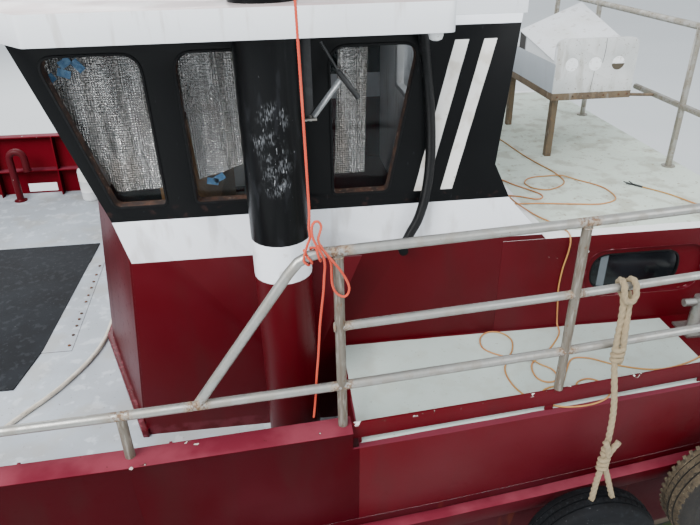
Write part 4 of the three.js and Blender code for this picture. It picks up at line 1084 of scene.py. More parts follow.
# The side decks: enamel, with a grey non-slip panel that narrows towards its aft end
PANEL_FORE, PANEL_AFT = 4.83, 6.71
PANEL_LOW, PANEL_HIGH, PANEL_SLOPE = 1.61, 2.842, 0.1003
SIDE_DECK_FACES = (Facing(Z, 0.75, 0.9), Zone(Z, 1.47, 1.49))
SIDE_DECK_PAINT = Finish(
    "side_deck_enamel_and_deck_paint", "deck_paint", MAROON, 0.45, specular=0.1,
    layers=(
        *worn(),
        *chipped(0.055, 0.64, "#d4cfca", Zone(Z, 1.585, None, 0.008)),
        *(
            Layer((*SIDE_DECK_FACES, margin), "#6a303d", 0.5, cover=0.6)
            for margin in (Zone(Y, None, -2.05), Zone(Y, 2.05))
        ),
        *(
            Layer((*SIDE_DECK_FACES, *edges, Zone(X, PANEL_FORE, PANEL_AFT, 0.003, 0.006, 0.3), *more),
                  colour, 0.72, cover=cover)
            for edges in (
                (Zone(Y, None, -PANEL_LOW, 0.003, 0.006, 0.3),
                 Zone(Y, -PANEL_HIGH, None, 0.003, 0.006, 0.3, (PANEL_SLOPE, 0, 0))),
                (Zone(Y, PANEL_LOW, None, 0.003, 0.006, 0.3),
                 Zone(Y, None, PANEL_HIGH, 0.003, 0.006, 0.3, (-PANEL_SLOPE, 0, 0))),
            )
            for colour, cover, more in (
                ("#abb6b0", 1.0, ()),
                ("#b4beb7", 0.6, (Patch(0.4, 0.5, 0.12),)),
                ("#a5a89e", 0.4, (Patch(0.12, 0.58, 0.08),)),
                ("#7d7668", 0.5, (Patch(0.014, 0.69, 0.02),)),
            )
        ),
    ),
    relief=(PLATE_WAVES, DECK_GRIT),
)
# The foredeck: enamel below, the same deck paint in a duller grey on top
FOREDECK_PAINT = Finish(
    "foredeck_paint", "deck_paint", MAROON, 0.4, specular=0.15,
    layers=(*worn(), *deck_layers("#a7aaa8")), relief=(PLATE_WAVES, DECK_GRIT),
)
# Engine enamel: smooth green with shining oil patches
ENGINE_PAINT = Finish(
    "engine_enamel", "engine_paint", "#2c5a43", 0.35,
    layers=(*worn("#5b7a69"), Layer(Patch(0.12, 0.58, 0.08), "#1c1a17", 0.3, cover=0.8)),
    relief=(Relief(0.02, 0.0015),),
)
# The wheelhouse: bands of maroon, white and black enamel, brushed along masked lines
BAND_LOW, BAND_HIGH, BLACK_HIGH = 2.081, 2.309, 3.152
STRIPE_LOW, STRIPE_HIGH, STRIPE_LEAN = 2.375, 3.089, 0.2328
STRIPES = ((4.6597, 4.7237), (4.795, 4.854))
HOUSE_PAINT = Finish(
    "wheelhouse_enamel_bands", "hull_paint", MAROON, 0.4, specular=0.15,
    layers=(
        *worn(),
        Layer(Zone(Z, BAND_LOW, None, 0.0012, 0.002, 0.4), WHITE, 0.3),
        Layer((Zone(Z, BAND_LOW, 2.32), Patch(0.09, 0.6, 0.08, DRIPS)), "#a39c93", 0.5, cover=0.35),
        Layer(Zone(Z, BAND_HIGH, BLACK_HIGH, 0.0012, 0.002, 0.4), BLACK, 0.34),
        Layer((Zone(Z, BAND_HIGH, BLACK_HIGH), Patch(0.03, 0.7, 0.03, DRIPS)),
              "#3c3d41", 0.6, cover=0.4),
        *(
            Layer((side, Zone(Z, STRIPE_LOW, STRIPE_HIGH, 0.002),
                   Zone(X, low, high, 0.0015, 0.002, 0.1, (0, 0, STRIPE_LEAN)), *more), colour, 0.42)
            for side in (Zone(Y, None, -1.585), Zone(Y, 1.585))
            for low, high in STRIPES
            for colour, more in (
                ("#e9e7e2", ()), ("#d3cdc2", (Patch(0.09, 0.58, 0.1),)),
                ("#4d3b33", (Patch(0.012, 0.74, 0.02),)),
            )
        ),
        Layer((Zone(Z, BAND_HIGH, BAND_HIGH + 0.06, 0.02), Patch(0.05, 0.62, 0.05)),
              "#3f2a26", 0.7, cover=0.35),
        Layer((Zone(Z, None, 1.02, 0.01, 0.02, 0.3), Patch(0.08, 0.52, 0.1)), "#7a3b46", 0.6, cover=0.3),
        Layer((Zone(Y, None, -1.5925), Zone(Z, 2.05, 2.12), Zone(X, 5.1, 5.2)), BLACK, 0.5),
    ),
    relief=(Relief(0.35, 0.002), ORANGE_PEEL),
)
# White gloss enamel: clean and shiny, with tan runs and a few rust specks
WHITE_ENAMEL = Finish(
    "white_gloss_enamel", "white_paint", "#dcdee0", 0.3, coat=0.25,
    layers=(
        Layer(Patch(0.4, 0.56, 0.12), "#c9c8c2", 0.4, cover=0.5),
        Layer(Patch(0.06, 0.63, 0.06, LONG_DRIPS), "#9c8f80", 0.55, cover=0.45),
        Layer(Patch(0.018, 0.715, 0.015), "#6d4a38", 0.8, cover=0.8),
    ),
    relief=(Relief(0.3, 0.002), ORANGE_PEEL),
)
# The same enamel on the roof, gone pinkish and dull on its top
ROOF_PAINT = Finish(
    "roof_enamel", "white_paint", "#dde0e3", 0.3, coat=0.25,
    layers=(
        Layer(Patch(0.06, 0.63, 0.06, LONG_DRIPS), "#9c8f80", 0.55, cover=0.35),
        Layer(UP, "#bdb2b0", 0.4),
        Layer((UP, Patch(0.25, 0.52, 0.1)), "#a98f8e", 0.55, cover=0.6),
        Layer((UP, Patch(0.03, 0.66, 0.04)), "#b7a9a4", 0.7, cover=0.6),
    ),
    relief=(Relief(0.3, 0.002), ORANGE_PEEL),
)
# The goalpost's columns: maroon, a white band forward and glossy black above, scuffed by ropes
POST_BAND_LOW, POST_BAND_HIGH, POST_BAND_AFT = 2.109, 2.301, 4.6765
COLUMN_SCUFFS = (
    Spot((4.545, -1.96, 2.87), 0.035, 0.05), Spot((4.515, -1.96, 2.78), 0.035, 0.06),
    Spot((4.55, -1.96, 2.68), 0.03, 0.06), Spot((4.54, -1.96, 2.60), 0.03, 0.05),
)
COLUMN_PAINT = Finish(
    "goalpost_enamel_bands", "hull_paint", MAROON, 0.36, specular=0.15,
    layers=(
        *worn(),
        Layer((Zone(Z, POST_BAND_LOW, POST_BAND_HIGH, 0.001, 0.002, 0.3),
               Zone(X, None, POST_BAND_AFT)), WHITE, 0.3),
        Layer((Zone(Z, POST_BAND_LOW, POST_BAND_HIGH), Zone(X, None, POST_BAND_AFT),
               Patch(0.06, 0.62, 0.06)), "#b0a59a", 0.5, cover=0.3),
        Layer(Zone(Z, POST_BAND_HIGH, None, 0.001, 0.002, 0.3), BLACK, 0.32),
        Layer((Zone(Z, POST_BAND_HIGH, None), Patch(0.05, 0.62, 0.05, DRIPS)),
              "#1c1d20", 0.5, cover=0.6),
        Layer((Patch(0.045, 0.52, 0.09, (1, 1, 0.8)), Patch(0.005, 0.53, 0.08, (1, 1, 0.22))),
              "#8d9094", 0.6, cover=0.35, near=COLUMN_SCUFFS),
        Layer(Patch(0.009, 0.68, 0.02, (1, 1, 0.25)), "#b9bbbe", 0.6, cover=0.5, near=COLUMN_SCUFFS),
        Layer((Zone(Z, 2.33, 3.05), Patch(0.009, 0.74, 0.008, DRIPS)), "#96989b", 0.6, cover=0.5),
    ),
    relief=(ORANGE_PEEL,),
)
# Galvanised water pipe: dull zinc with a faint spangle, brown where it was welded
PIPE_JOINTS = (
    *(
        Spot((x, y, z), 0.03, 0.045)
        for x, y in ((4.752, -2.3547), (5.79, -2.2603), (6.65, -2.1644))
        for z in (RAIL_TOP, RAIL_MID, RAIL_LOW)
    ),
    Spot((4.146, -2.3975, RAIL_LOW), 0.03, 0.04), Spot((3.843, -2.4173, RAIL_LOW), 0.025, 0.04),
    Spot((4.752, -2.3547, 1.62), 0.02, 0.04), Spot((5.79, -2.2603, 1.66), 0.05, 0.06),
)
ZINC = Finish(
    "galvanised_pipe", "galvanised_steel", "#989792", 0.36, 0.8,
    layers=(
        Layer(Patch(0.03, 0.5, 0.15), "#acaca9", 0.34, 0.8, 0.35),
        Layer(Patch(0.06, 0.54, 0.08), "#7d766a", 0.6, 0.5, 0.5),
        Layer(Patch(0.012, 0.71, 0.03), "#6d553f", 0.85, 0.0, 0.6),
        Layer(Patch(0.02, 0.5, 0.1, (1, 1, 0.4)), "#8a7358", 0.8, 0.1, 0.75, PIPE_JOINTS),
        Layer(Patch(0.012, 0.52, 0.06), "#5d4028", 0.9, 0.0, 0.8, PIPE_JOINTS),
    ),
    relief=(Relief(0.004, 0.0004),),
)
# The posts of the rails: the same zinc gone tan and streaky where ropes and hands rub it
POST_ZINC = Finish(
    "stained_galvanised_post", "galvanised_steel", "#6e685e", 0.55, 0.4,
    layers=(
        Layer(Patch(0.03, 0.52, 0.1, LONG_DRIPS), "#54483a", 0.7, 0.2, 0.7),
        Layer(Patch(0.014, 0.58, 0.08, LONG_DRIPS), "#a39f96", 0.5, 0.5, 0.5),
        Layer(Patch(0.012, 0.64, 0.04, (1, 1, 0.4)), "#5d4028", 0.9, 0.0, 0.7),
    ),
    relief=(Relief(0.004, 0.0005),),
)
# The stern rail: zinc with a thin tan bloom
STERN_ZINC = Finish(
    "tanned_galvanised_pipe", "galvanised_steel", "#8a8579", 0.5, 0.5,
    layers=(
        Layer(Patch(0.06, 0.54, 0.1), "#a5a5a2", 0.42, 0.65, 0.6),
        Layer(Patch(0.02, 0.62, 0.06), "#6d553f", 0.8, 0.1, 0.6),
    ),
    relief=(Relief(0.004, 0.0005),),
)
# A weld that was never painted: scale and brown rust
WELD = Finish(
    "rusty_weld", "rusty_steel", "#8e877c", 0.7, 0.3,
    layers=(Layer(Patch(0.01, 0.5, 0.08), "#7a5f45", 0.9, 0.0, 0.8),
            Layer(Patch(0.014, 0.6, 0.06), "#5d4028", 0.6, 0.2, 0.7)),
    relief=(Relief(0.003, 0.0016),),
)
# Galvanised angle iron gone brown: thin rust over dull zinc
BROWN_ANGLE = Finish(
    "browned_angle_iron", "rusty_steel", "#6b5c49", 0.75, 0.15,
    layers=(Layer(Patch(0.05, 0.52, 0.1, DRIPS), "#54473a", 0.8, 0.1, 0.7),
            Layer(Patch(0.02, 0.6, 0.06), "#7d6246", 0.85, 0.0, 0.5),
            Layer(Patch(0.03, 0.66, 0.05, (1, 1, 0.4)), "#9a958b", 0.6, 0.3, 0.4)),
    relief=(Relief(0.005, 0.0012),),
)
# Bare mild steel after a few seasons at sea: brown scale with orange bloom
RUST = Finish(
    "weathered_mild_steel", "rusty_steel", "#46342a", 0.82, 0.15,
    layers=(Layer(Patch(0.04, 0.5, 0.1), "#69432b", 0.9, 0.0, 0.7),
            Layer(Patch(0.02, 0.6, 0.06), "#8a5330", 0.9, 0.0, 0.4),
            Layer(Patch(0.06, 0.62, 0.06), "#5d5b59", 0.6, 0.5, 0.7)),
    relief=(Relief(0.005, 0.0018),),
)
# Galvanised wire rope in grease: dark metal with the lay of its strands
WIRE = Finish(
    "greased_wire_rope", "wire_rope", "#5b5954", 0.55, 0.7,
    layers=(Layer(Patch(0.05, 0.52, 0.1), "#3a2c20", 0.75, 0.2, 0.7),),
    relief=(Relief(0.006, 0.002, (1, 1, 0.4)),),
)
# Cast bronze under water: dull gold, browned, with green spots
BRONZE = Finish(
    "cast_propeller_bronze", "bronze", "#a8783c", 0.38, 0.95,
    layers=(Layer(Patch(0.1, 0.52, 0.12), "#6f5a38", 0.6, 0.4, 0.7),
            Layer(Patch(0.03, 0.64, 0.05), "#5f8071", 0.8, 0.0, 0.6)),
    relief=(Relief(0.02, 0.0012),),
)
# Old car tyres: black rubber gone brown and grey, dusty in the tread
TYRE = Finish(
    "weathered_tyre_rubber", "tyre_rubber", "#0a0b0d", 0.7, specular=0.15,
    layers=(Layer(Patch(0.16, 0.5, 0.14), "#111316", 0.75, cover=0.7),
            Layer(Patch(0.03, 0.64, 0.07), "#26292c", 0.8, cover=0.35),
            Layer(Patch(0.008, 0.72, 0.02, (0.4, 1, 1)), "#7c7d7e", 0.85, cover=0.5)),
    relief=(Relief(0.006, 0.001),),
)
# The aft tyre has stood in the sun and mud: dust in every groove
DUSTY_TYRE = Finish(
    "dusty_tyre_rubber", "tyre_rubber", "#453d31", 0.8, specular=0.2,
    layers=(Layer(Patch(0.12, 0.5, 0.14), "#5c5242", 0.85, cover=0.7),
            Layer(Patch(0.02, 0.58, 0.07), "#2c2926", 0.75, cover=0.6),
            Layer(Patch(0.012, 0.66, 0.03), "#8d836c", 0.9, cover=0.5),
            *(Layer(Facing(Y, *turned), "#17181a", 0.75, cover=0.85)
              for turned in ((-0.55, -0.8), (0.55, 0.8)))),
    relief=(Relief(0.006, 0.0015),),
)
# Enamel on an edge that boots and gear strike: rubbed pink, with bright chips
WORN_EDGE = Finish(
    "worn_enamel_edge", "hull_paint", "#4c0410", 0.4, specular=0.2,
    layers=(Layer(Patch(0.05, 0.58, 0.08), "#94525e", 0.5, cover=0.4),
            Layer(Patch(0.012, 0.7, 0.03), "#cfc6c2", 0.6, cover=0.7)),
    relief=(ORANGE_PEEL,),
)
# Extruded rubber: dull black, greyish where it has dried
BLACK_RUBBER = Finish(
    "rubber_gasket", "tyre_rubber", "#060607", 0.6, specular=0.2,
    layers=(Layer(Patch(0.03, 0.62, 0.08), "#1b1c1e", 0.75, cover=0.4),),
    relief=(Relief(0.004, 0.0004),),
)
# Toughened glass: clear, with a faint film of salt
GLASS = Finish(
    "toughened_window_glass", "window_glass", "#1b2426", 0.03, alpha=0.16, specular=0.6,
    layers=(Layer(Patch(0.12, 0.55, 0.15), None, 0.1, cover=0.6),),
)
# Casing glass painted nearly black as painted shade of the dark room behind it, with a pale upright streak as
# a painted reflection
GLASS_PAINTED_SHADE_AND_REFLECTION = Finish(
    "dark_casing_light", "window_glass", "#07090b", 0.1, coat=0.2, specular=0.3,
    layers=(Layer(Patch(0.2, 0.5, 0.2, DRIPS), "#1d2327", 0.15, cover=0.5),
            # painted reflection: a pale upright streak on the glass
            Layer(Zone(X, 6.30, 6.345, 0.003), "#6d757a", 0.25, cover=0.7)),
)
# Varnished marine plywood: warm brown with long grain
PLY_BARE = Finish(
    "varnished_plywood", "plywood", "#9a7448", 0.5,
    layers=(Layer(Patch(0.02, 0.52, 0.1, (0.15, 1, 1)), "#7a5630", 0.55, cover=0.7),),
    relief=(Relief(0.004, 0.0005, (0.1, 1, 1)),),
)
# Painted plywood: matt cream, soiled where boots pass
PLY_PAINTED = Finish(
    "painted_plywood", "plywood_paint", "#c8c4b6", 0.5,
    layers=(Layer(Patch(0.08, 0.58, 0.08), "#97907f", 0.6, cover=0.5),),
    relief=(Relief(0.006, 0.0005, (0.1, 1, 1)),),
)
# Grained seat vinyl: soft black, rubbed grey
VINYL = Finish(
    "seat_vinyl", "seat_vinyl", "#1d1e21", 0.45,
    layers=(Layer(Patch(0.1, 0.55, 0.1), "#3b3c3f", 0.55, cover=0.5),),
    relief=(Relief(0.0025, 0.0006),),
)
# Moulded gelcoat over glass fibre: glossy off-white, weathered in patches
GRP = Finish(
    "glass_fibre_gelcoat", "white_plastic", "#d9dbdb", 0.28, coat=0.3,
    layers=(Layer(Patch(0.2, 0.55, 0.12), "#bcbab1", 0.45, cover=0.5),
            Layer(Patch(0.02, 0.68, 0.03), "#7d776c", 0.6, cover=0.5)),
    relief=(Relief(0.2, 0.001),),
)
# The chute's sheet: painted aluminium, chalky and streaked with slime and rust, its forward end cleaner, with
# a dark triangle above its rim painted as the shade in the gap under the lifted lid
TRAY_END = (Zone(X, None, 6.4215),)
TRAY_RIM = 2.706
CHUTE_SHEET = Finish(
    "painted_chute_sheet", "aluminium_plate", "#cdcecd", 0.5, 0.0,
    layers=(Layer(Patch(0.25, 0.5, 0.15), "#b4b7b6", 0.55, cover=0.7),
            Layer(Patch(0.05, 0.58, 0.08, DRIPS), "#9b978c", 0.6, cover=0.5),
            Layer(Patch(0.012, 0.67, 0.02), "#6b5a49", 0.8, cover=0.7),
            Layer((*TRAY_END, Zone(Z, None, TRAY_RIM)), "#aab2ba", 0.5, cover=0.8),
            Layer((*TRAY_END, Zone(Z, TRAY_RIM)), "#dfe2e4", 0.6),
            # painted shade: a dark triangle for the gap under the lifted lid
            Layer((*TRAY_END, Zone(Z, TRAY_RIM), Zone(Y, 0.17, None, 0.02)), "#2e2b28", 0.8),
            Layer((Zone(Y, -0.356, -0.35), Spot((6.858, -0.351, 2.655), 0.045, 0.004)), "#5f5648", 0.8)),
    relief=(Relief(0.12, 0.0015), Relief(0.004, 0.0004)),
)
# Rolled rubber matting, nearly black, rubbed grey where boots pass
MATTING = Finish(
    "rolled_rubber_matting", "mat_rubber", "#1b1d20", 0.8, specular=0.2,
    layers=(Layer(Patch(0.3, 0.5, 0.15), "#25282c", 0.85, cover=0.7),
            Layer(Patch(0.05, 0.6, 0.06), "#393c40", 0.85, cover=0.4),
            Layer(Patch(0.015, 0.71, 0.02), "#6c6e70", 0.85, cover=0.5)),
    relief=(Relief(0.005, 0.0015), Relief(0.25, 0.006)),
)
# Extruded PVC round a lead: yellow gone orange in the sun, with dirty stretches
LEAD_SHEATH = Finish(
    "yellow_pvc_lead", "lead_pvc", "#ab7f42", 0.5, on_surface=True,
    layers=(Layer(Zone(Y, 3.0, 5.2, 0.6), "#bf8048", 0.45, cover=0.8),
            Layer(Patch(0.3, 0.52, 0.1, (0.2, 1, 1)), "#b06a46", 0.5, cover=0.6),
            Layer(Patch(0.06, 0.6, 0.06, (0.2, 1, 1)), "#6f5634", 0.6, cover=0.5)),
)
# Reinforced PVC hose: smooth off-white with black scuffs
HOSE_SHEATH = Finish(
    "offwhite_pvc_hose", "hose_pvc", "#cfc9bb", 0.42, on_surface=True,
    layers=(Layer(Patch(0.12, 0.54, 0.1, (0.4, 1, 1)), "#a39a86", 0.5, cover=0.6),
            Layer(Patch(0.03, 0.66, 0.03, (0.5, 1, 1)), "#2b2723", 0.6, cover=0.8)),
)
# Corrugated plastic conduit: satin black, greyed by salt
CONDUIT_SHEATH = Finish(
    "black_corrugated_conduit", "conduit_plastic", "#08090a", 0.42, specular=0.3, on_surface=True,
    layers=(Layer(Patch(0.08, 0.58, 0.1, (0.4, 1, 1)), "#232425", 0.6, cover=0.4),),
)
# Polypropylene rope: bright orange yarns faded by the sun, with fine fibres catching light
ORANGE_ROPE = Finish(
    "orange_polypropylene_rope", "rope_fibre", "#bf3517", 0.6, sheen=0.06, on_surface=True,
    layers=(Layer(Patch(0.2, 0.54, 0.12, (0.3, 1, 1)), "#cf6444", 0.65, cover=0.5),
            Layer(Patch(0.02, 0.6, 0.05, (0.6, 1, 1)), "#8c3a28", 0.7, cover=0.5)),
    relief=(Relief(0.002, 0.0006, (3, 0.2, 1)),),
)
# Hemp rope after years outdoors: matt straw and grey, rough with fibres
HEMP_ROPE = Finish(
    "weathered_fender_rope", "rope_fibre", "#8f7e61", 0.85, sheen=0.05, on_surface=True,
    layers=(Layer(Patch(0.1, 0.52, 0.12, (0.3, 1, 1)), "#8f8268", 0.9, cover=0.7),
            Layer(Patch(0.02, 0.6, 0.05, (0.6, 1, 1)), "#6c6150", 0.9, cover=0.5)),
    relief=(Relief(0.004, 0.0018, (3, 0.2, 1)),),
)
# Bubble insulation: a silver film over bubbles, creased and going brown, with long upright grey and dark
# streaks painted as the shade in its folds. Its bubbles are 8 mm across and drawn at 11 mm, so that they
# show.
FOIL = Finish(
    "silver_bubble_foil", "aluminium_plate", "#e6e5e2", 0.24, 0.85,
    # painted shade: long upright grey and dark streaks for the shade in the folds
    layers=(Layer(Patch(0.11, 0.55, 0.05, (1.6, 1, 0.07)), "#8f8983", 0.3, 0.95, 0.6),
            Layer(Patch(0.05, 0.64, 0.03, (1, 1, 0.12)), "#4d4946", 0.35, 0.9, 0.5),
            Layer(Patch(0.2, 0.6, 0.1, (1, 1, 0.5)), "#b59a80", 0.35, 0.8, 0.3)),
    relief=(Relief(0.011, 0.014, pattern=Pattern.BUBBLES), Relief(0.045, 0.02)),
)
# Paper masking tape: matt blue, bleached in spots
BLUE_TAPE = Finish(
    "blue_masking_tape", "white_plastic", "#3c6f9a", 0.6,
    layers=(Layer(Patch(0.02, 0.55, 0.08), "#6f9bbb", 0.65, cover=0.6),),
    relief=(Relief(0.006, 0.0008),),
)
# Moulded plastic: satin black
BLACK_PLASTIC = Finish(
    "black_moulded_plastic", "conduit_plastic", "#151617", 0.4,
    layers=(Layer(Patch(0.05, 0.58, 0.08), "#3a3b3c", 0.6, cover=0.4),),
    relief=(Relief(0.004, 0.0003),),
)
# Mill-finish aluminium bar, hardly dulled
BRIGHT_STRAP = Finish(
    "bright_aluminium_strap", "aluminium_plate", "#d4d7da", 0.35, 0.8,
    layers=(Layer(Patch(0.03, 0.6, 0.08), "#8f9092", 0.5, 0.6, 0.5),),
    relief=(Relief(0.003, 0.0003),),
)
# White discs that close the round holes of the chute, the aftmost brown in its lower half
DISC_PAINT = Finish(
    "painted_hole_discs", "aluminium_plate", "#f0f2f3", 0.5,
    layers=(Layer(Patch(0.02, 0.6, 0.06), "#a59f94", 0.6, cover=0.5),
            Layer((Zone(X, 6.8), Zone(Z, None, 2.697, 0.004, 0.006, 0.02)), "#4a4234", 0.7)),
)
# Bare steel in the window openings: dark brown rust with remains of paint
REVEAL_PAINT = Finish(
    "rusting_window_reveal", "rusty_steel", "#2b1f1a", 0.7,
    layers=(Layer(Patch(0.04, 0.52, 0.1), "#5a3b2a", 0.8, cover=0.6),
            Layer(Patch(0.02, 0.66, 0.05), "#9c8d7f", 0.6, cover=0.5)),
    relief=(Relief(0.005, 0.001),),
)
# Plain studio floor: pale and matt
PALE_FLOOR = Finish(
    "pale_studio_floor", "white_paint", "#c9cccd", 0.75,
    layers=(Layer(Patch(2.5, 0.5, 0.2), "#c3c7c8", 0.8, cover=0.5),),
)


# Sub-assemblies
@dataclass(frozen=True)
class Lamp:
    """A soft area light: where it stands, what it points at, how wide it is, and its power in watts."""

    name: str
    place: Triple
    target: Triple
    size: float
    power: float


@dataclass
class Studio:
    """Floor at the waterline, a pale sky, big soft lights and the camera at the photograph's angle."""

    floor_half: float = 40.0
    sky: str = "#e3e9ef"
    sky_strength: float = 1.55
    lamps: tuple[Lamp, ...] = (
        Lamp("high_key", (-3.0, -9.0, 12.0), (3.5, -1.0, 1.5), 9.0, 3900.0),
        Lamp("quarter_fill", (13.0, -8.0, 7.0), (4.5, -1.5, 2.0), 7.0, 500.0),
        Lamp("far_fill", (0.0, 14.0, 9.0), (2.0, 0.0, 1.5), 8.0, 1100.0),
    )
    camera_at: Triple = (4.56, -4.441, 3.56)
    right: Triple = (0.99229, -0.12266, -0.01754)
    down: Triple = (-0.07403, -0.47336, -0.87775)
    forward: Triple = (0.09937, 0.87228, -0.4788)
    lens: float = 32.12
    sensor: float = 36.0
    sight: float = 200.0

    def build(self) -> None:
        """Makes the studio."""
        self.floor()
        self.lit_sky()
        for lamp in self.lamps:
            self.light(lamp)
        self.camera()

    def floor(self) -> None:
        """Lays the floor."""
        deselect()
        bpy.ops.mesh.primitive_plane_add(size=2 * self.floor_half, location=(0, 0, 0))
        floor = applied("studio_floor")
        floor.data.materials.append(PALE_FLOOR.make())

    def lit_sky(self) -> None:
        """Makes the sky."""
        world = bpy.data.worlds.new("studio_sky")
        world.use_nodes = True
        back = world.node_tree.nodes["Background"]
        back.inputs["Color"].default_value = linear(self.sky)
        back.inputs["Strength"].default_value = self.sky_strength
        bpy.context.scene.world = world

    def camera(self) -> None:
        """Sets the camera up where the photograph was taken from."""
        eye = bpy.data.cameras.new("photo_camera")
        eye.lens, eye.sensor_width, eye.sensor_fit = self.lens, self.sensor, "HORIZONTAL"
        eye.clip_end = self.sight
        holder = placed("photo_camera", eye)
        axes = (Vector(self.right), -Vector(self.down), -Vector(self.forward))
        turn = Matrix([[axes[c][r] for c in range(3)] for r in range(3)]).to_4x4()
        holder.matrix_world = Matrix.Translation(self.camera_at) @ turn
        bpy.context.scene.camera = holder

    def light(self, lamp: Lamp) -> None:
        """Adds one soft area light.

        Args:
            lamp: The light.
        """
        bulb = bpy.data.lights.new(lamp.name, "AREA")
        bulb.size, bulb.energy = lamp.size, lamp.power
        holder = placed(lamp.name, bulb)
        holder.location = lamp.place
        aim = Vector(lamp.target) - Vector(lamp.place)
        holder.rotation_euler = aim.to_track_quat("-Z", "Y").to_euler()


def at_level(z: float, *places: Point) -> list[Point]:
    """Points at one height, from their places along and across the boat."""
    return [(*place, z) for place in places]


# The electric lead lies loose on the raised deck, goes over its edge twice and loops on the side deck
LEAD_MM = (
    (5662, 620, 2200), (5700, 620, 2200), (5750, 615, 2163), (5790, 605, 2102), (5850, 577, 2064),
    *at_level(2057, (5935, 530), (6082, 410), (6203, 264), (6269, 87), (6291, -101), (6312, -290),
             (6346, -477), (6386, -663), (6371, -848), (6223, -945), (6142, -901), (6123, -807),
             (6185, -731), (6314, -714)),
    (6391, -747, 2068.3),
    *at_level(2057, (6474, -811), (6578, -968), (6564, -1150), (6450, -1208), (6276, -1183),
             (6090, -1144), (5902, -1117), (5860, -1091), (5844, -1049), (5867, -1010), (5920, -993),
             (6004, -1019), (6102, -1079), (6141, -1057), (6150, -1013), (6122, -952), (6043, -827),
             (5984, -722), (5926, -713), (5884, -754), (5881, -823), (5920, -944)),
    (5928, -994, 2068.3), (5942, -1126, 2068.3), (6003, -1310, 2057), (6078, -1470, 2057),
    (6078, -1518, 2061), (6077, -1566, 2067.5), (6077, -1595, 2056.5), (6078, -1607, 2027.2),
    (6078, -1600, 1960), (6064, -1596, 1860), (6058, -1596, 1740), (6070, -1596, 1620),
    (6080, -1596, 1530), (6080, -1608, 1497),
    *at_level(1485, (6070, -1665), (5951, -1812), (5804, -1930), (5789, -2036), (5817, -2073),
             (5862, -2078), (5895, -2045), (5895, -1987), (5848, -1932)),
    (5817, -1912, 1496.2),
    *at_level(1485, (5693, -1847), (5595, -1754), (5612, -1652), (5675, -1609), (5743, -1630),
             (5774, -1700), (5744, -1797)),
    (5706, -1856, 1497.2),
    *at_level(1485, (5647, -1960), (5671, -2143), (5814, -2259), (6000, -2262), (6097, -2207),
             (6103, -2131), (6050, -2083), (5985, -2096), (5940, -2151), (5862, -2211), (5801, -2206),
             (5772, -2177), (5781, -2138), (5818, -2121), (5898, -2096), (5956, -2012), (6040, -1911),
             (6120, -1919), (6246, -2000), (6424, -2061), (6611, -2033), (6787, -1961), (6961, -1896),
             (7046, -1858), (7092, -1795), (7100, -1715), (7100, -1632)),
    (7100, -1608, 1497), (7100, -1596, 1530), (7100, -1596, 1640), (7100, -1596, 1760),
    (7100, -1596, 1880), (7100, -1600, 1960), (7100, -1607, 2027.2), (7100, -1595, 2056.5),
    (7100, -1566, 2067.5), (7098, -1518, 2061),
    *at_level(2057, (7092, -1470), (6995, -1307), (6918, -1133), (6790, -955)),
)
# The halyard comes down from its arm, takes turns round the rail's knee and hangs in a bight
HALYARD_MM = (
    (4640, -2330, 3622), (4647, -2366, 3060), (4650, -2387, 2720), (4650, -2392, 2640),
    (4646, -2397, 2592), (4648, -2400, 2556), (4636, -2398, 2522), (4620.7, -2391.6, 2456.5),
    (4632.6, -2388.6, 2437.7), (4640.8, -2370.9, 2426.5), (4641.9, -2348.7, 2430),
    (4636.4, -2334.8, 2446.9), (4628.8, -2337.3, 2467.9), (4624.9, -2354.6, 2481.5),
    (4628.2, -2376.8, 2480.4), (4638, -2390.8, 2466), (4650, -2388.5, 2447.1), (4651, -2371.2, 2432.6),
    (4652.9, -2348.8, 2435), (4652.1, -2334.3, 2452.3), (4650.4, -2336, 2474.6), (4650.1, -2352.9, 2489.2),
    (4669, -2368.2, 2493), (4673.4, -2385.8, 2479.9), (4679.3, -2388.6, 2458.4), (4684.4, -2374.8, 2441.2),
    (4687, -2352.5, 2438.7), (4686.6, -2334.5, 2452.5), (4684.7, -2331.5, 2474.8), (4683.6, -2345, 2492.6),
    (4685, -2367.1, 2495.9), (4688, -2378, 2507), (4692, -2395, 2503), (4702, -2402, 2488),
    (4713, -2400, 2468), (4721, -2395, 2440), (4722, -2391, 2395), (4724, -2387, 2343),
    (4735, -2385, 2308), (4753, -2384, 2288), (4769, -2384, 2282), (4782, -2384, 2291),
    (4789, -2386, 2318), (4784, -2390, 2346), (4768, -2397, 2385), (4745, -2406, 2428),
    (4722, -2413, 2464), (4702, -2414, 2494), (4684, -2411, 2522), (4677, -2406, 2548),
    (4684, -2402, 2572), (4690, -2400, 2594), (4687, -2401, 2608), (4679, -2403, 2618),
    (4668, -2406, 2619), (4659, -2410, 2610), (4655, -2413, 2598), (4656, -2419, 2568),
    (4667, -2425, 2538), (4682, -2428, 2510), (4693, -2425, 2480), (4697, -2414, 2444),
    (4694, -2398, 2390), (4689, -2388, 2318), (4680, -2384, 2243), (4669, -2380, 2150),
    (4663, -2374, 2070), (4656, -2357, 1970), (4650, -2340, 1895), (4645, -2334, 1835),
    (4640, -2333, 1771), (4625, -2336, 1640),
)
HOSE_MM = (
    (3238, 250, 1259.7), (3238, 250, 1150), (3238, 249, 1085), (3238, 238, 1040), (3237, 213, 1000),
    (3236, 176, 974),
    *at_level(965.5, (3234, 130), (3230, 40), (3226, -60), (3223, -160), (3222, -264), (3225, -370),
             (3226, -480), (3220, -591), (3200, -715), (3165, -840), (3112, -970), (3051, -1096),
             (2990, -1196), (2925, -1286), (2866, -1372), (2810, -1459), (2762, -1545), (2724, -1640)),
)
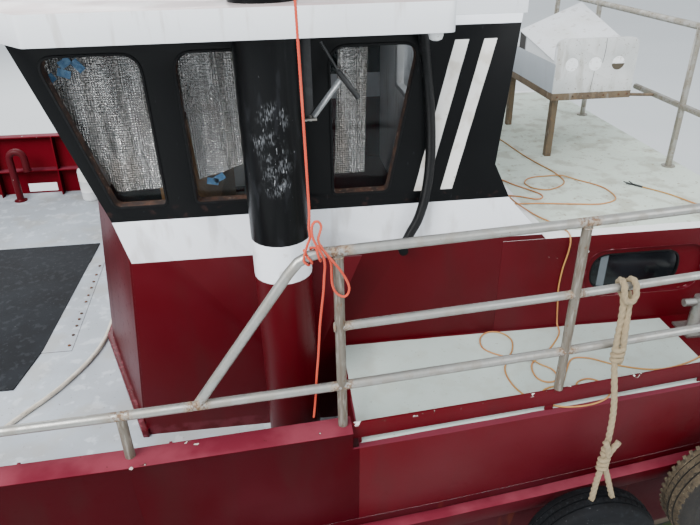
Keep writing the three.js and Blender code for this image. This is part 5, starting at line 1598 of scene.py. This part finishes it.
CONDUIT_MM = (
    (5216, -1653, 3191.4), (5216, -1653, 3150), (5232, -1650, 3020), (5248, -1648, 2900),
    (5263, -1646, 2780), (5272, -1644, 2660), (5275, -1643, 2550), (5268, -1644, 2440),
    (5250, -1648, 2330), (5222, -1652, 2240), (5190, -1649, 2175), (5164, -1650, 2121),
)


LEAD_R, HALYARD_R, HOSE_R, CONDUIT_R = 0.0045, 0.005, 0.015, 0.025


@dataclass(frozen=True)
class Cord:
    """One cord: its route in millimetres, its size and section in metres, and how it lies."""

    name: str
    node: str
    route: tuple
    radius: float
    step: float
    sides: int
    section: Section
    finish: Finish
    stiffness: str
    lies: str
    far_end: str = "bare"


@dataclass
class Cords:
    """The electric lead, the halyard, the deck hose and the ribbed conduit."""

    cords: tuple[Cord, ...] = (
        Cord("yellow_lead", "electric_lead", LEAD_MM, LEAD_R, 0.012, 10, round_section(LEAD_R),
             LEAD_SHEATH, "medium", "loose"),
        Cord("orange_halyard", "halyard", HALYARD_MM, HALYARD_R, 0.003, 24, laid_section(HALYARD_R),
             ORANGE_ROPE, "limp", "hanging"),
        Cord("white_deck_hose", "deck_hose", HOSE_MM, HOSE_R, 0.02, 20, round_section(HOSE_R),
             HOSE_SHEATH, "stiff", "loose"),
        Cord("ribbed_conduit", "wall_conduit", CONDUIT_MM, CONDUIT_R, 0.0015, 20,
             ribbed_section(CONDUIT_R, 0.006, 0.004), CONDUIT_SHEATH, "stiff", "hanging", "object"),
    )
    path_step: float = 0.006
    lead_end: Triple = (6.79, -0.955, 2.057)
    lead_aim: Triple = (-0.584, 0.812, 0.0)
    tape_back: float = 0.055
    tape_over: float = 0.012
    tape_r: float = LEAD_R + 0.0022
    wire_r: float = 0.0032
    wire_lift: float = 0.004
    wires: tuple = ((-0.5, 0.055), (0.05, 0.07), (0.6, 0.05))

    def build(self) -> None:
        """Makes every cord."""
        for cord in self.cords:
            self.lay(cord)
        self.taped_end()

    def taped_end(self) -> None:
        """The dark tape round the lead's loose end, with three stubs of wire splayed out of it."""
        end, along = Vector(self.lead_end), Vector(self.lead_aim)
        back, over = end - along * self.tape_back, end + along * self.tape_over
        parts = [bar("tape", back, over, self.tape_r, 16, 0.001)]
        for turn, reach in self.wires:
            tip = end + Matrix.Rotation(turn, 3, "Z") @ along * reach
            parts.append(bar("wire", end, tip + Vector((0, 0, self.wire_lift)), self.wire_r, 10, 0.001))
        finished(joined("lead_taped_end", parts), BLACK_PLASTIC)

    def lay(self, cord: Cord) -> None:
        """Args:
            cord: The cord.
        """
        path = smooth_path([[v * MM for v in point] for point in cord.route], cord.step)
        piece = swept(cord.name, path, cord.sides, cord.section)
        finished(piece, cord.finish, stands_for=(cord.node,))
        points = [tuple(p) for p in path[:: max(1, int(self.path_step / cord.step))]]
        if points[-1] != tuple(path[-1]):
            points.append(tuple(path[-1]))


@dataclass(frozen=True)
class Side:
    """One side of the boat."""

    name: str
    sign: int

    def between(self, near: float, far: float) -> tuple[float, float]:
        """The stretch across the boat between two distances from the centreline, low end first."""
        return tuple(sorted((self.sign * near, self.sign * far)))


SIDES = (Side("port", -1), Side("starboard", 1))


class Dresser:
    """Dresses carried-over CAD nodes: each gets rounded edges, smooth shading and a real finish."""

    merge: float = 0.00005
    flat_angle: float = 0.6

    def __init__(self, frame: dict) -> None:
        """Keeps the frame's nodes and the body of each.

        Args:
            frame: The loaded frame.
        """
        self.nodes = frame["nodes"]
        groups = frame["record"]["behaviour"]["bodies"]
        self.body_of = {node: body for body, members in groups.items() for node in members}

    def dress(self, node: str, finish: Finish, edge: float = 0.003, segments: int = 2) -> Piece:
        """Makes the dressed copy that stands for a node.

        Args:
            node: The node's name.
            finish: What it is made of.
            edge: How far its edges are rounded.
            segments: Steps in the rounding.

        Returns:
            The dressed piece.
        """
        piece = placed("dressed_" + node, self.nodes[node].data.copy())
        pick(piece)
        bpy.ops.object.mode_set(mode="EDIT")
        bpy.ops.mesh.select_all(action="SELECT")
        bpy.ops.mesh.remove_doubles(threshold=self.merge)
        bpy.ops.mesh.dissolve_limited(angle_limit=math.radians(self.flat_angle))
        bpy.ops.object.mode_set(mode="OBJECT")
        bevelled(piece, edge, segments)
        return finished(piece, finish, self.body_of[node], (node,))

    def dress_pair(self, stem: str, finish: Finish, edge: float = 0.003) -> None:
        """Dresses a node on both sides."""
        for side in SIDES:
            self.dress(f"{stem}_{side.name}", finish, edge)




@dataclass
class Hull:
    """Hull, keel, decks, bulwarks and rubbing strakes."""

    dresser: Dresser

    def build(self) -> None:
        """Dresses the hull's nodes."""
        self.dresser.dress("hull", HULL_SIDE, 0.004)
        self.dresser.dress("keel", HULL_SIDE, 0.006)
        self.dresser.dress("foredeck", FOREDECK_PAINT, 0.004)
        self.dresser.dress("engine_block", ENGINE_PAINT, 0.006)
        self.dresser.dress("side_decks", SIDE_DECK_PAINT, 0.0025)
        self.dresser.dress("casing", CASING_PAINT, 0.005)
        self.dresser.dress_pair("bulwark", BULWARK_PAINT, 0.004)
        self.dresser.dress_pair("rubbing_strake", BULWARK_PAINT, 0.006)


@dataclass
class House:
    """Wheelhouse: walls with their windows, roof, door, inside, and what hangs on the port wall."""

    dresser: Dresser
    gasket: float = 0.011
    windows: tuple = (
        ((3.770, SILL, 0.03), (4.009, SILL, 0.025), (3.994, HEAD, 0.09), (3.560, HEAD, 0.09)),
        ((4.150, SILL, 0.025), (4.580, SILL, 0.025), (4.580, HEAD, 0.09), (4.136, HEAD, 0.09)),
        ((4.810, SILL, 0.025), (5.080, SILL, 0.025), (5.222, HEAD, 0.09), (4.810, HEAD, 0.09)),
    )
    glass_inside: float = -1.522

    def build(self) -> None:
        """Makes the whole wheelhouse."""
        dress = self.dresser.dress
        for node in ("wheelhouse_side_port", "wheelhouse_side_starboard", "wheelhouse_front"):
            dress(node, HOUSE_PAINT, 0.004)
        dress("wheelhouse_back", WHITE_ENAMEL, 0.004)
        dress("wheelhouse_roof", ROOF_PAINT, 0.005)
        dress("wheelhouse_floor", PLY_PAINTED, 0.003)
        dress("wheelhouse_door", WHITE_ENAMEL, 0.004)
        for glass in ("front", "aft", "port", "starboard"):
            dress("window_glass_" + glass, GLASS, 0.0)
        dress("helm_console", PLY_BARE, 0.004)
        dress("helm_seat", VINYL, 0.012, 3)
        self.frames()
        self.foils()
        self.hung_things()
        self.plinth()

    def plinth(self) -> None:
        """The low coaming round the foot of the house."""
        out = ((3.69, -1.613), (3.655, -1.613), (3.248, -0.585), (3.248, 0.585),
               (3.655, 1.613), (3.69, 1.613))
        inside = ((3.69, 1.585), (3.68, 1.585), (3.29, 0.57), (3.29, -0.57), (3.68, -1.585), (3.69, -1.585))
        finished(plate("house_plinth", (*out, *inside), Z, 0.9504, 1.008, 0.004), WORN_EDGE)

    def grown(self, corners: Sequence[Point], by: float) -> list[Triple]:
        """A window's corners moved outwards from its middle."""
        middle = Vector((sum(c[0] for c in corners), sum(c[1] for c in corners))) / len(corners)
        return [
            (u + math.copysign(by, u - middle.x), v + math.copysign(by, v - middle.y), radius + by)
            for u, v, radius in corners
        ]

    def frames(self) -> None:
        """Rubber gaskets on the outside and rusting reveals in the openings."""
        for side in SIDES:
            shown = self.windows if side.sign < 0 else self.windows[2:]
            for number, corners in enumerate(shown, 1):
                name = f"{side.name}_{number}"
                rim = rounded(self.grown(corners, 0.007), 8)
                low, high = sorted((side.sign * 1.5895, side.sign * 1.5955))
                gasket = frame_of("window_gasket_" + name, rim, self.gasket, Y, low, high, 0.0015)
                finished(gasket, BLACK_RUBBER)
                lining = rounded(self.grown(corners, 0.0005), 8)
                low, high = sorted((side.sign * 1.5885, side.sign * 1.5312))
                reveal = frame_of("window_reveal_" + name, lining, 0.004, Y, low, high, 0.0)
                finished(reveal, REVEAL_PAINT)

    def foils(self) -> None:
        """Silver bubble foil behind the port windows, with the tape that holds it."""
        left = ((3.765, 2.43), (4.02, 2.44), (4.005, 3.09), (3.53, 3.09))
        self.foil("foil_forward", left, (0.011, 11.0), 11, 0.016)
        middle = ((4.165, 2.47), (4.60, 2.60), (4.60, 3.09), (4.125, 3.09))
        self.foil("foil_middle", middle, (0.011, 13.0), 23, 0.015)
        aft = ((4.825, 2.462), (4.975, 2.462), (4.995, 3.06), (4.857, 3.06))
        self.foil("foil_aft", aft, (0.003, 34.0), 31, 0.008)
        self.tapes()

    def foil(self, name: str, corners: Sequence[Point], fold: tuple[float, float], seed: int,
             crease: float) -> None:
        """Args:
            name: The sheet's name.
            corners: Its corners in x and z: low forward, low aft, high aft and high forward.
            fold: How deep its folds are, and how many fit in a metre.
            seed: The number its creases are drawn from.
            crease: How far it stands off the glass in its folds.
        """
        draw = random.Random(seed)
        across, up = 90, 120
        phases = [draw.uniform(0, 2 * math.pi) for _ in range(5)]
        points = np.empty((across * up, 3))
        for j in range(up):
            v = j / (up - 1)
            for i in range(across):
                u = i / (across - 1)
                low = np.array(corners[0]) * (1 - u) + np.array(corners[1]) * u
                high = np.array(corners[3]) * (1 - u) + np.array(corners[2]) * u
                x, z = low * (1 - v) + high * v
                wave = math.sin(fold[1] * x * 2 + phases[0] + 0.8 * math.sin(3 * z + phases[1]))
                wave += 0.6 * math.sin(fold[1] * 3.7 * x + phases[2] + 1.4 * math.sin(5 * z + phases[3]))
                wave += 0.5 * math.sin(9 * z + 4 * x + phases[4])
                points[j * across + i] = (x, self.glass_inside + 0.005 + crease + fold[0] * wave / 2, z)
        faces = [
            (j * across + i, j * across + i + 1, (j + 1) * across + i + 1, (j + 1) * across + i)
            for j in range(up - 1)
            for i in range(across - 1)
        ]
        sheet = finished(built(name, points, faces), FOIL)

    def tapes(self) -> None:
        """Squares of blue tape that hold the foil."""
        y = self.glass_inside + 0.004
        spots = (
            (3.585, 2.976, -0.6), (3.652, 3.0, 0.35), (3.665, 3.045, -0.5), (3.717, 3.03, 0.9),
            (4.229, 2.462, 0.2), (4.262, 2.478, -0.5),
        )
        tapes = []
        for x, z, turn in spots:
            each = block("tape", (-0.028, y, -0.017), (0.028, y + 0.0012, 0.017), 0.0)
            each.data.transform(Matrix.Translation((x, 0, z)) @ Matrix.Rotation(turn, 4, "Y"))
            tapes.append(each)
        finished(joined("blue_tape", tapes), BLUE_TAPE)

    def hung_things(self) -> None:
        """The lamp under the visor, the flat bar with its foot, and the strap beside it."""
        lamp = spun("visor_lamp", ((0.0, 0.036), (0.028, 0.036), (0.029, 0.02), (0.024, 0.006), (0.012, 0.0),
                                   (0.0, -0.001)), (5.184, -2.0, 3.156), Z, 32)
        finished(lamp, GRP)
        flat = block("black_flat_bar", (4.677, -1.755, 2.815), (4.72, -1.747, 3.1915), 0.0015)
        finished(flat, BLACK_PLASTIC)
        foot = joined("flat_bar_foot", [
            block("foot_flange", (4.677, -1.772, 2.806), (4.733, -1.73, 2.815), 0.0015),
            bar("foot_bolt", (4.705, -1.751, 2.80), (4.705, -1.751, 2.826), 0.008, 6),
            block("foot_stay", (4.60, -1.775, 2.806), (4.69, -1.755, 2.812), 0.001),
        ])
        finished(foot, ZINC)
        strap = bar("aluminium_strap", (4.72, -1.76, 2.823), (4.839, -1.76, 2.971), 0.0135, 4, 0.001)
        finished(strap, BRIGHT_STRAP)
        rod = joined("black_stay_rod", [
            bar("rod_thin", (4.763, -1.76, 3.128), (4.836, -1.76, 3.001), 0.006, 12),
            bar("rod_grip", (4.83, -1.76, 3.011), (4.917, -1.76, 2.892), 0.012, 16, 0.003),
        ])
        finished(rod, BLACK_PLASTIC)


@dataclass
class Rails:
    """Handrails of galvanised pipe, with their welds."""

    dresser: Dresser
    pipe_r: float = PIPE_R
    thin: float = 0.9
    sides: int = 24
    line: tuple = (
        (2.300, 2.4757), (3.080, 2.4558), (3.843, 2.4173), (4.146, 2.3975), (4.560, 2.3685), (4.600, 2.3657),
        (4.645, 2.3624), (4.690, 2.3592), (4.752, 2.3547), (5.790, 2.2603), (6.650, 2.1644), (7.080, 2.1141),
    )
    knee: tuple = ((4.146, RAIL_LOW), (4.56, 2.393), (4.6, 2.438), (4.645, 2.46), (4.69, RAIL_TOP))
    posts: tuple = (4.752, 5.790, 6.650)
    stubs: tuple = (3.080, 3.843)
    fore: float = 2.3
    aft: float = 7.08
    foot: float = CAP_TOP + 0.0005
    # Sections of a weld round a pipe and round a post's head: out of the pipe's face, and along it
    bead: tuple = ((-0.003, -0.004), (0.0018, -0.001), (0.0014, 0.002), (-0.003, 0.005))
    collar: tuple = ((-0.003, -0.004), (0.003, 0.0), (-0.003, 0.006))

    def half(self, x: float) -> float:
        """How far the rail stands from the centreline at a place along the boat."""
        return float(np.interp(x, [p[0] for p in self.line], [p[1] for p in self.line]))

    def build(self) -> None:
        """Makes both side rails and the stern rail."""
        for side in SIDES:
            self.side_rail(side)
        self.dresser.dress("handrail_stern", STERN_ZINC, 0.0)

    def side_rail(self, side: Side) -> None:
        """Makes one side's rail, its posts and its welds.

        Args:
            side: The side.
        """
        at = self.plane(side)
        ends = (*self.posts, self.aft)
        low = [at(self.fore, self.foot), *(at(x, RAIL_LOW) for x in (self.fore, *self.stubs, *ends))]
        top = [*(at(x, z) for x, z in self.knee), *(at(x, RAIL_TOP) for x in ends), at(self.aft, self.foot)]
        parts = [
            pipe_run("low", low, self.pipe_r, self.sides),
            pipe_run("top", top, self.pipe_r, self.sides),
            pipe_run("mid", [at(x, RAIL_MID) for x in ends], self.pipe_r * self.thin, self.sides),
        ]
        tops = (*((x, RAIL_TOP) for x in self.posts), *((x, RAIL_LOW) for x in self.stubs))
        posts = [bar("post", at(x, self.foot), at(x, z - 0.01), self.pipe_r, self.sides) for x, z in tops]
        for name, pipes, finish, node in (
            ("rail_posts_", posts, POST_ZINC, ()), ("side_rail_", parts, ZINC, ("handrail_" + side.name,)),
        ):
            piece = joined(name + side.name, pipes)
            bpy.ops.object.shade_smooth_by_angle(angle=math.radians(PIPE_ANGLE))
            finished(piece, finish, stands_for=node)
        finished(joined("rail_welds_" + side.name, self.welds(at)), WELD)

    def plane(self, side: Side) -> Callable[[float, float], Point]:
        """A function that gives the points of the rail's plane from x and z."""
        return lambda x, z: (x, side.sign * self.half(x), z)

    def welds(self, at: Callable[[float, float], Point]) -> list[Piece]:
        """Makes the welds where posts and pipes meet.

        Args:
            at: Gives the points of the rail's plane.

        Returns:
            The welds.
        """
        bead = [(self.pipe_r * self.thin + out, along) for out, along in self.bead]
        collar = [(self.pipe_r + out, along) for out, along in self.collar]
        spots = [(x, z) for x in self.posts for z in (RAIL_MID, RAIL_LOW, RAIL_TOP)]
        spots += [(x, RAIL_LOW) for x in (*self.stubs, self.knee[0][0])]
        welds = []
        for x, z in spots:
            for end in (-1, 1):
                welds.append(spun("weld", bead, at(x + end * (self.pipe_r + 0.001), z), X, self.sides))
            if z == RAIL_TOP:
                welds.append(spun("weld", collar, at(x, z - self.pipe_r - 0.003), Z, self.sides))
        return welds


@dataclass
class Rig:
    """Goalpost, mast head, derrick, forestay and radar."""

    dresser: Dresser

    def build(self) -> None:
        """Dresses the rig's nodes."""
        self.dresser.dress_pair("goalpost_column", COLUMN_PAINT, 0.002)
        for node, finish, edge in (
            ("goalpost_beam", WHITE_ENAMEL, 0.004), ("goalpost_head", WHITE_ENAMEL, 0.003),
            ("derrick_boom", WHITE_ENAMEL, 0.002), ("forestay", WIRE, 0.0), ("radar_scanner", GRP, 0.01),
        ):
            self.dresser.dress(node, finish, edge)


@dataclass(frozen=True)
class Tyre:
    """One tyre: its middle on the port side, its size, and where its lanyard meets the rail."""

    name: str
    x: float
    y: float
    z: float
    radius: float
    wide: float
    rail_x: float
    rail_y: float
    knot: Triple
    legs: tuple
    finish: Finish
    rows: tuple


@dataclass
class Fenders:
    """Old tyres, each on a lanyard hitched to the mid rail."""

    rope_r: float = 0.0152
    blocks: int = 52
    tyres: tuple = (
        Tyre("mid", 6.048, -2.3916, 0.632, 0.35, 0.19, 6.038, -2.2361, (6.015, -2.398, 1.217),
             ((5.998, -2.400, 0.95), (6.117, -2.397, 0.945)), TYRE, ((-0.22, 0.5, -0.35), (0.22, 0.0, 0.35))),
        Tyre("aft", 6.902, -2.2856, 0.756, 0.37, 0.2, 6.54, -2.1790, (6.86, -2.30, 1.21),
             ((6.84, -2.30, 1.1), (6.94, -2.296, 1.1)), DUSTY_TYRE,
             ((-0.74, 0.0, 0.3), (-0.22, 0.5, -0.35), (0.22, 0.0, 0.35), (0.74, 0.5, -0.3))),
    )

    def build(self) -> None:
        """Makes every tyre and its lanyard."""
        for tyre in self.tyres:
            body = self.tyre(tyre)
            rope = self.lanyard(tyre)
            for side in SIDES:
                mirrored = side.sign > 0
                each = copied(body, mirror=mirrored)
                each.name = each.data.name = f"tyre_{tyre.name}_{side.name}"
                finished(each, tyre.finish, stands_for=(f"tyre_fender_{tyre.name}_{side.name}",))
                line = copied(rope, mirror=mirrored)
                line.name = line.data.name = f"lanyard_{tyre.name}_{side.name}"
                finished(line, HEMP_ROPE)
            for used in (body, rope):
                bpy.data.objects.remove(used)

    def tyre(self, tyre: Tyre) -> Piece:
        """Makes a tyre: a spun casing with bead, sidewall and grooves, and tread blocks round it.

        Args:
            tyre: Its sizes and place.

        Returns:
            The tyre on the port side.
        """
        r, w = tyre.radius, tyre.wide / 2
        half = (
            (0.56 * r, -0.60 * w), (0.58 * r, -0.70 * w), (0.64 * r, -0.88 * w), (0.72 * r, -0.99 * w),
            (0.735 * r, -1.0 * w), (0.745 * r, -0.985 * w), (0.82 * r, -1.0 * w), (0.89 * r, -0.95 * w),
            (0.94 * r, -0.84 * w), (0.965 * r, -0.7 * w), (0.972 * r, -0.44 * w), (0.95 * r, -0.43 * w),
            (0.95 * r, -0.38 * w), (0.98 * r, -0.37 * w), (0.982 * r, -0.06 * w), (0.955 * r, -0.05 * w),
        )
        inner = ((0.93 * r, 0.6 * w), (0.9 * r, 0.8 * w), (0.72 * r, 0.9 * w), (0.6 * r, 0.66 * w))
        section = [*half, *((u, -v) for u, v in reversed(half)), *((u, v) for u, v in reversed(inner)),
                   *((u, -v) for u, v in inner)]
        casing = spun("casing", section, (tyre.x, tyre.y, tyre.z), Y, 96)
        parts = [casing]
        model = block("tread_block", (-0.0095 * r / 0.35, -0.13 * w, 0.962 * r),
                      (0.0095 * r / 0.35, 0.13 * w, 0.992 * r), 0.0012)
        for share, shift, twist in tyre.rows:
            for k in range(self.blocks):
                each = placed("tread_block", model.data.copy())
                place = (
                    Matrix.Translation((tyre.x, tyre.y + share * w, tyre.z))
                    @ Matrix.Rotation(2 * math.pi * (k + shift) / self.blocks, 4, "Y")
                    @ Matrix.Translation((0, 0, 0.97 * r))
                    @ Matrix.Rotation(0.14 if abs(share) > 0.5 else 0.0, 4, "X")
                    @ Matrix.Rotation(twist, 4, "Z")
                    @ Matrix.Translation((0, 0, -0.97 * r - (0.006 if abs(share) > 0.5 else 0)))
                )
                each.data.transform(place)
                parts.append(each)
        bpy.data.objects.remove(model)
        return joined("tyre", parts)

    def lanyard(self, tyre: Tyre) -> Piece:
        """Makes a lanyard: a cow hitch on the rail, a seized short leg, a knot and two legs to the tyre.

        Args:
            tyre: The tyre it holds.

        Returns:
            The rope on the port side.
        """
        r = self.rope_r
        rail = Vector((tyre.rail_x, tyre.rail_y, RAIL_MID))
        hitch = (
            (-0.0135, 0.030, -0.11), (-0.0135, 0.020, -0.06), (-0.015, 0.004, -0.034),
            (-0.018, -0.018, -0.027),
            (-0.021, -0.032, -0.002), (-0.024, -0.022, 0.024), (-0.026, 0.0, 0.033), (-0.027, 0.023, 0.024),
            (-0.027, 0.034, 0.0), (-0.025, 0.041, -0.028), (-0.014, 0.045, -0.046), (0.0, 0.046, -0.051),
        )
        turns = [*hitch, *((-u, v, w) for u, v, w in reversed(hitch[:-1]))]
        loop = [rail + Vector((u, -v, w)) for u, v, w in turns]
        knot, seized = Vector(tyre.knot), rail.lerp(Vector(tyre.knot), 0.36)
        sag = Vector((0.01, -0.012, 0.0))
        first, second = tyre.legs
        left, right = Vector((-0.012, 0, 0)), Vector((0.012, 0, 0))
        standing = [Vector(first), Vector(first).lerp(knot, 0.6) + left * 0.4, knot + left * 0.3,
                    knot.lerp(seized, 0.5) + sag, seized + left, *loop, seized + right + Vector((0, 0, 0.12)),
                    seized + right * 1.3 + Vector((0.004, 0, 0.02)),
                    seized + right * 1.5 - Vector((0, 0, 0.05))]
        other = [Vector(second), Vector(second).lerp(knot, 0.6) + right * 0.4, knot + right * 0.8,
                 knot + right * 0.9 + Vector((0.0, -0.006, 0.05)), knot + Vector((0.02, -0.012, 0.1)),
                 knot + Vector((0.045, -0.014, 0.15))]
        tail = [knot + Vector((0.008, -0.012, 0.06)), knot + Vector((-0.002, -0.014, 0.11)),
                knot + Vector((-0.022, -0.014, 0.155))]
        parts = [swept("rope", smooth_path(line, 0.006), 24, laid_section(r))
                 for line in (standing, other, tail)]
        parts += [self.wraps(seized, 0.021, 3), self.wraps(knot, 0.018, 3),
                  self.wraps(knot + Vector((0.006, 0.008, 0.075)) + sag * 0.2, 0.017, 2)]
        return joined("lanyard", parts)

    def wraps(self, centre: Vector, radius: float, turns: int) -> Piece:
        """Turns of rope round a lanyard, for a knot."""
        steps = 14 * turns
        line = [
            centre + Vector((radius * math.cos(a), radius * 0.8 * math.sin(a),
                            self.rope_r * 1.8 * (a / 2 / math.pi - turns / 2)))
            for a in (2 * math.pi * turns * k / steps for k in range(steps + 1))
        ]
        return swept("wraps", smooth_path(line, 0.006), 18, laid_section(self.rope_r * 0.85))


@dataclass
class Chute:
    """Gutting chute: tray, lifted lid, cracked front plate and its stand."""

    dresser: Dresser
    lid: tuple = (
        (6.412, -0.349, 2.7235), (6.991, -0.349, 2.7605), (6.991, 0.556, 2.974), (6.412, 0.297, 2.8225),
    )
    lid_thick: float = 0.007
    # Rows of discs and bolts: name, finish, places along the boat, outer and inner end, height, radius, sides
    rows: tuple = (
        ("chute_hole_discs", DISC_PAINT, (6.534, 6.697, 6.858), -0.3785, -0.3745, 2.7, 0.0445, 40),
        ("stand_rim_bolts", RUST, (6.46, 6.57, 6.68, 6.79, 6.90, 6.96), -0.3865, -0.3795, 2.489, 0.0055, 6),
    )
    crack_r: float = 0.0013
    crack_high: tuple = ((6.751, -0.3803, 2.861), (6.7535, -0.3803, 2.80), (6.751, -0.3803, 2.745),
                         (6.7455, -0.3803, 2.705))
    crack_low: tuple = ((6.6975, -0.3803, 2.653), (6.695, -0.3803, 2.61), (6.6905, -0.3803, 2.56),
                        (6.6885, -0.3803, 2.515))

    def build(self) -> None:
        """Makes the chute and its stand."""
        self.dresser.dress("gutting_chute", CHUTE_SHEET, 0.003)
        self.dresser.dress("chute_stand", BROWN_ANGLE, 0.0015)
        deselect()
        bpy.ops.mesh.primitive_circle_add(vertices=4, fill_type="NGON")
        sheet = bpy.context.object
        for vertex, place in zip(sheet.data.vertices, self.lid):
            vertex.co = place
        thickened((0, 0, self.lid_thick))
        finished(bevelled(applied("chute_lid_sheet"), 0.002), WHITE_ENAMEL)
        cracks = [pipe_run("crack", run, self.crack_r, 8) for run in (self.crack_high, self.crack_low)]
        finished(joined("chute_plate_cracks", cracks), BLACK_RUBBER)
        for name, finish, xs, outer, inner, z, radius, sides in self.rows:
            row = [bar("part", (x, outer, z), (x, inner, z), radius, sides) for x in xs]
            finished(joined(name, row), finish)


@dataclass
class CasingLights:
    """The oval side lights of the casing, each in its recess."""

    # The two outlines, as corners in x and z with their radius
    light: tuple = (
        (6.244, 1.692, 0.105), (6.775, 1.692, 0.105), (6.775, 1.915, 0.105), (6.244, 1.915, 0.105),
    )
    recess: tuple = (
        (6.205, 1.655, 0.12), (6.905, 1.655, 0.12), (6.905, 1.955, 0.12), (6.205, 1.955, 0.12),
    )
    corner_steps: int = 10
    # Distances from the centreline of each part's inner and outer face
    glass: tuple = (1.5555, 1.5575)
    rubber: tuple = (1.5565, 1.5685)
    lip: tuple = (1.569, 1.5915)
    rubber_wide: float = 0.009
    lip_wide: float = 0.003

    def build(self) -> None:
        """Makes the glass, its rubber and the worn edge of each recess."""
        light, recess = rounded(self.light, self.corner_steps), rounded(self.recess, self.corner_steps)
        for side in SIDES:
            depth = side.between(*self.glass)
            finished(plate("casing_light_" + side.name, light, Y, *depth, 0.0), GLASS_PAINTED_SHADE_AND_REFLECTION)
            depth = side.between(*self.rubber)
            rim = frame_of("casing_light_rim_" + side.name, light, self.rubber_wide, Y, *depth)
            finished(rim, BLACK_RUBBER)
            depth = side.between(*self.lip)
            edge = frame_of("casing_recess_edge_" + side.name, recess, self.lip_wide, Y, *depth)
            finished(edge, WORN_EDGE)


@dataclass
class DeckGear:
    """Hatch, winch, windlass, gallows, bitts, raft, funnel, mat, and the small things on the low deck."""

    dresser: Dresser

    def build(self) -> None:
        """Dresses the gear."""
        for node, finish, edge in (
            ("hatch_coaming", MAROON_ENAMEL, 0.004), ("hatch_lid", GRP, 0.006),
            ("winch_frame", MAROON_ENAMEL, 0.003),
            ("winch_drum_port", WIRE, 0.003), ("winch_drum_starboard", WIRE, 0.003),
            ("windlass_frame", MAROON_ENAMEL, 0.003), ("windlass_drum", RUST, 0.003),
            ("liferaft", GRP, 0.006),
            ("exhaust_funnel", WHITE_ENAMEL, 0.003), ("deck_mat", MATTING, 0.0015),
        ):
            self.dresser.dress(node, finish, edge)
        self.dresser.dress_pair("trawl_gallows", RUST, 0.004)
        self.dresser.dress_pair("mooring_bitts", ZINC, 0.003)
        self.low_deck()

    def low_deck(self) -> None:
        """The bolted plate beside the mat, the gooseneck vents and the white drum at the bulwark."""
        cover = plate("deck_access_plate", ((2.2, -0.672), (3.013, -0.672), (2.955, 0.659), (2.2, 0.659)),
                      Z, 0.9502, 0.954, 0.0012)
        finished(cover, HULL_SIDE)
        bolts = [
            bar("bolt", (2.983 - 0.044 * (y + 0.672), y, 0.953),
                (2.983 - 0.044 * (y + 0.672), y, 0.961), 0.011, 6)
            for y in (-0.61, -0.48, -0.36, -0.27, -0.19, -0.02, 0.08, 0.2, 0.3, 0.42, 0.58)
        ]
        finished(joined("access_plate_bolts", bolts), RUST)
        for side in SIDES:
            y = side.sign * 2.27
            arch = [(1.80 + 0.075 * math.cos(a), y, 1.42 + 0.075 * math.sin(a))
                    for a in np.linspace(0, math.pi, 14)]
            vent = joined("gooseneck_vent_" + side.name, [
                pipe_run("vent", [(1.875, y, 1.29), *arch, (1.725, y, 0.9505)], 0.036, 24),
                spun("vent_flange", ((0.0, 0.0), (0.065, 0.0), (0.065, 0.008), (0.045, 0.01), (0.038, 0.02),
                                     (0.0, 0.02)), (1.725, y, 0.9505), Z, 32),
                spun("vent_lip", ((0.03, 0.0), (0.041, 0.0), (0.041, 0.02), (0.03, 0.02)), (1.875, y, 1.28),
                     Z, 32),
            ])
            finished(vent, MAROON_ENAMEL)
        drum = spun("white_plastic_drum", (
            (0.0, 0.0), (0.085, 0.0), (0.095, 0.012), (0.1, 0.03), (0.1, 0.1), (0.103, 0.106), (0.1, 0.112),
            (0.1, 0.22), (0.103, 0.226), (0.1, 0.232), (0.1, 0.32), (0.092, 0.345), (0.05, 0.352),
            (0.045, 0.37),
            (0.0, 0.372)), (2.50, 2.2, 0.9505), Z, 40)
        finished(drum, GRP)


@dataclass
class SternGear:
    """Propeller and rudder."""

    dresser: Dresser

    def build(self) -> None:
        """Dresses the stern gear."""
        self.dresser.dress("propeller", BRONZE, 0.003)
        self.dresser.dress("rudder", HULL_SIDE, 0.006)


def corners(low_high: Iterable[Iterable[float]]) -> list[list[float]]:
    """A box's two corners as plain numbers."""
    return [[float(v) for v in corner] for corner in low_high]


def main() -> None:
    """Builds the whole boat around its frame."""
    logging.basicConfig(level=logging.INFO, format="%(name)s: %(message)s")
    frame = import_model()
    Studio().build()
    Cords().build()
    dresser = Dresser(frame)
    for assembly in (Hull, House, Rails, Rig, Chute, DeckGear, SternGear):
        LOG.info("building the %s", assembly.__name__)
        assembly(dresser).build()
    Fenders().build()
    CasingLights().build()
    left = [name for name in frame["nodes"] if not frame["nodes"][name].hide_render]
    LOG.info("nodes left as they were: %s", left)


if __name__ == "__main__":
    main()
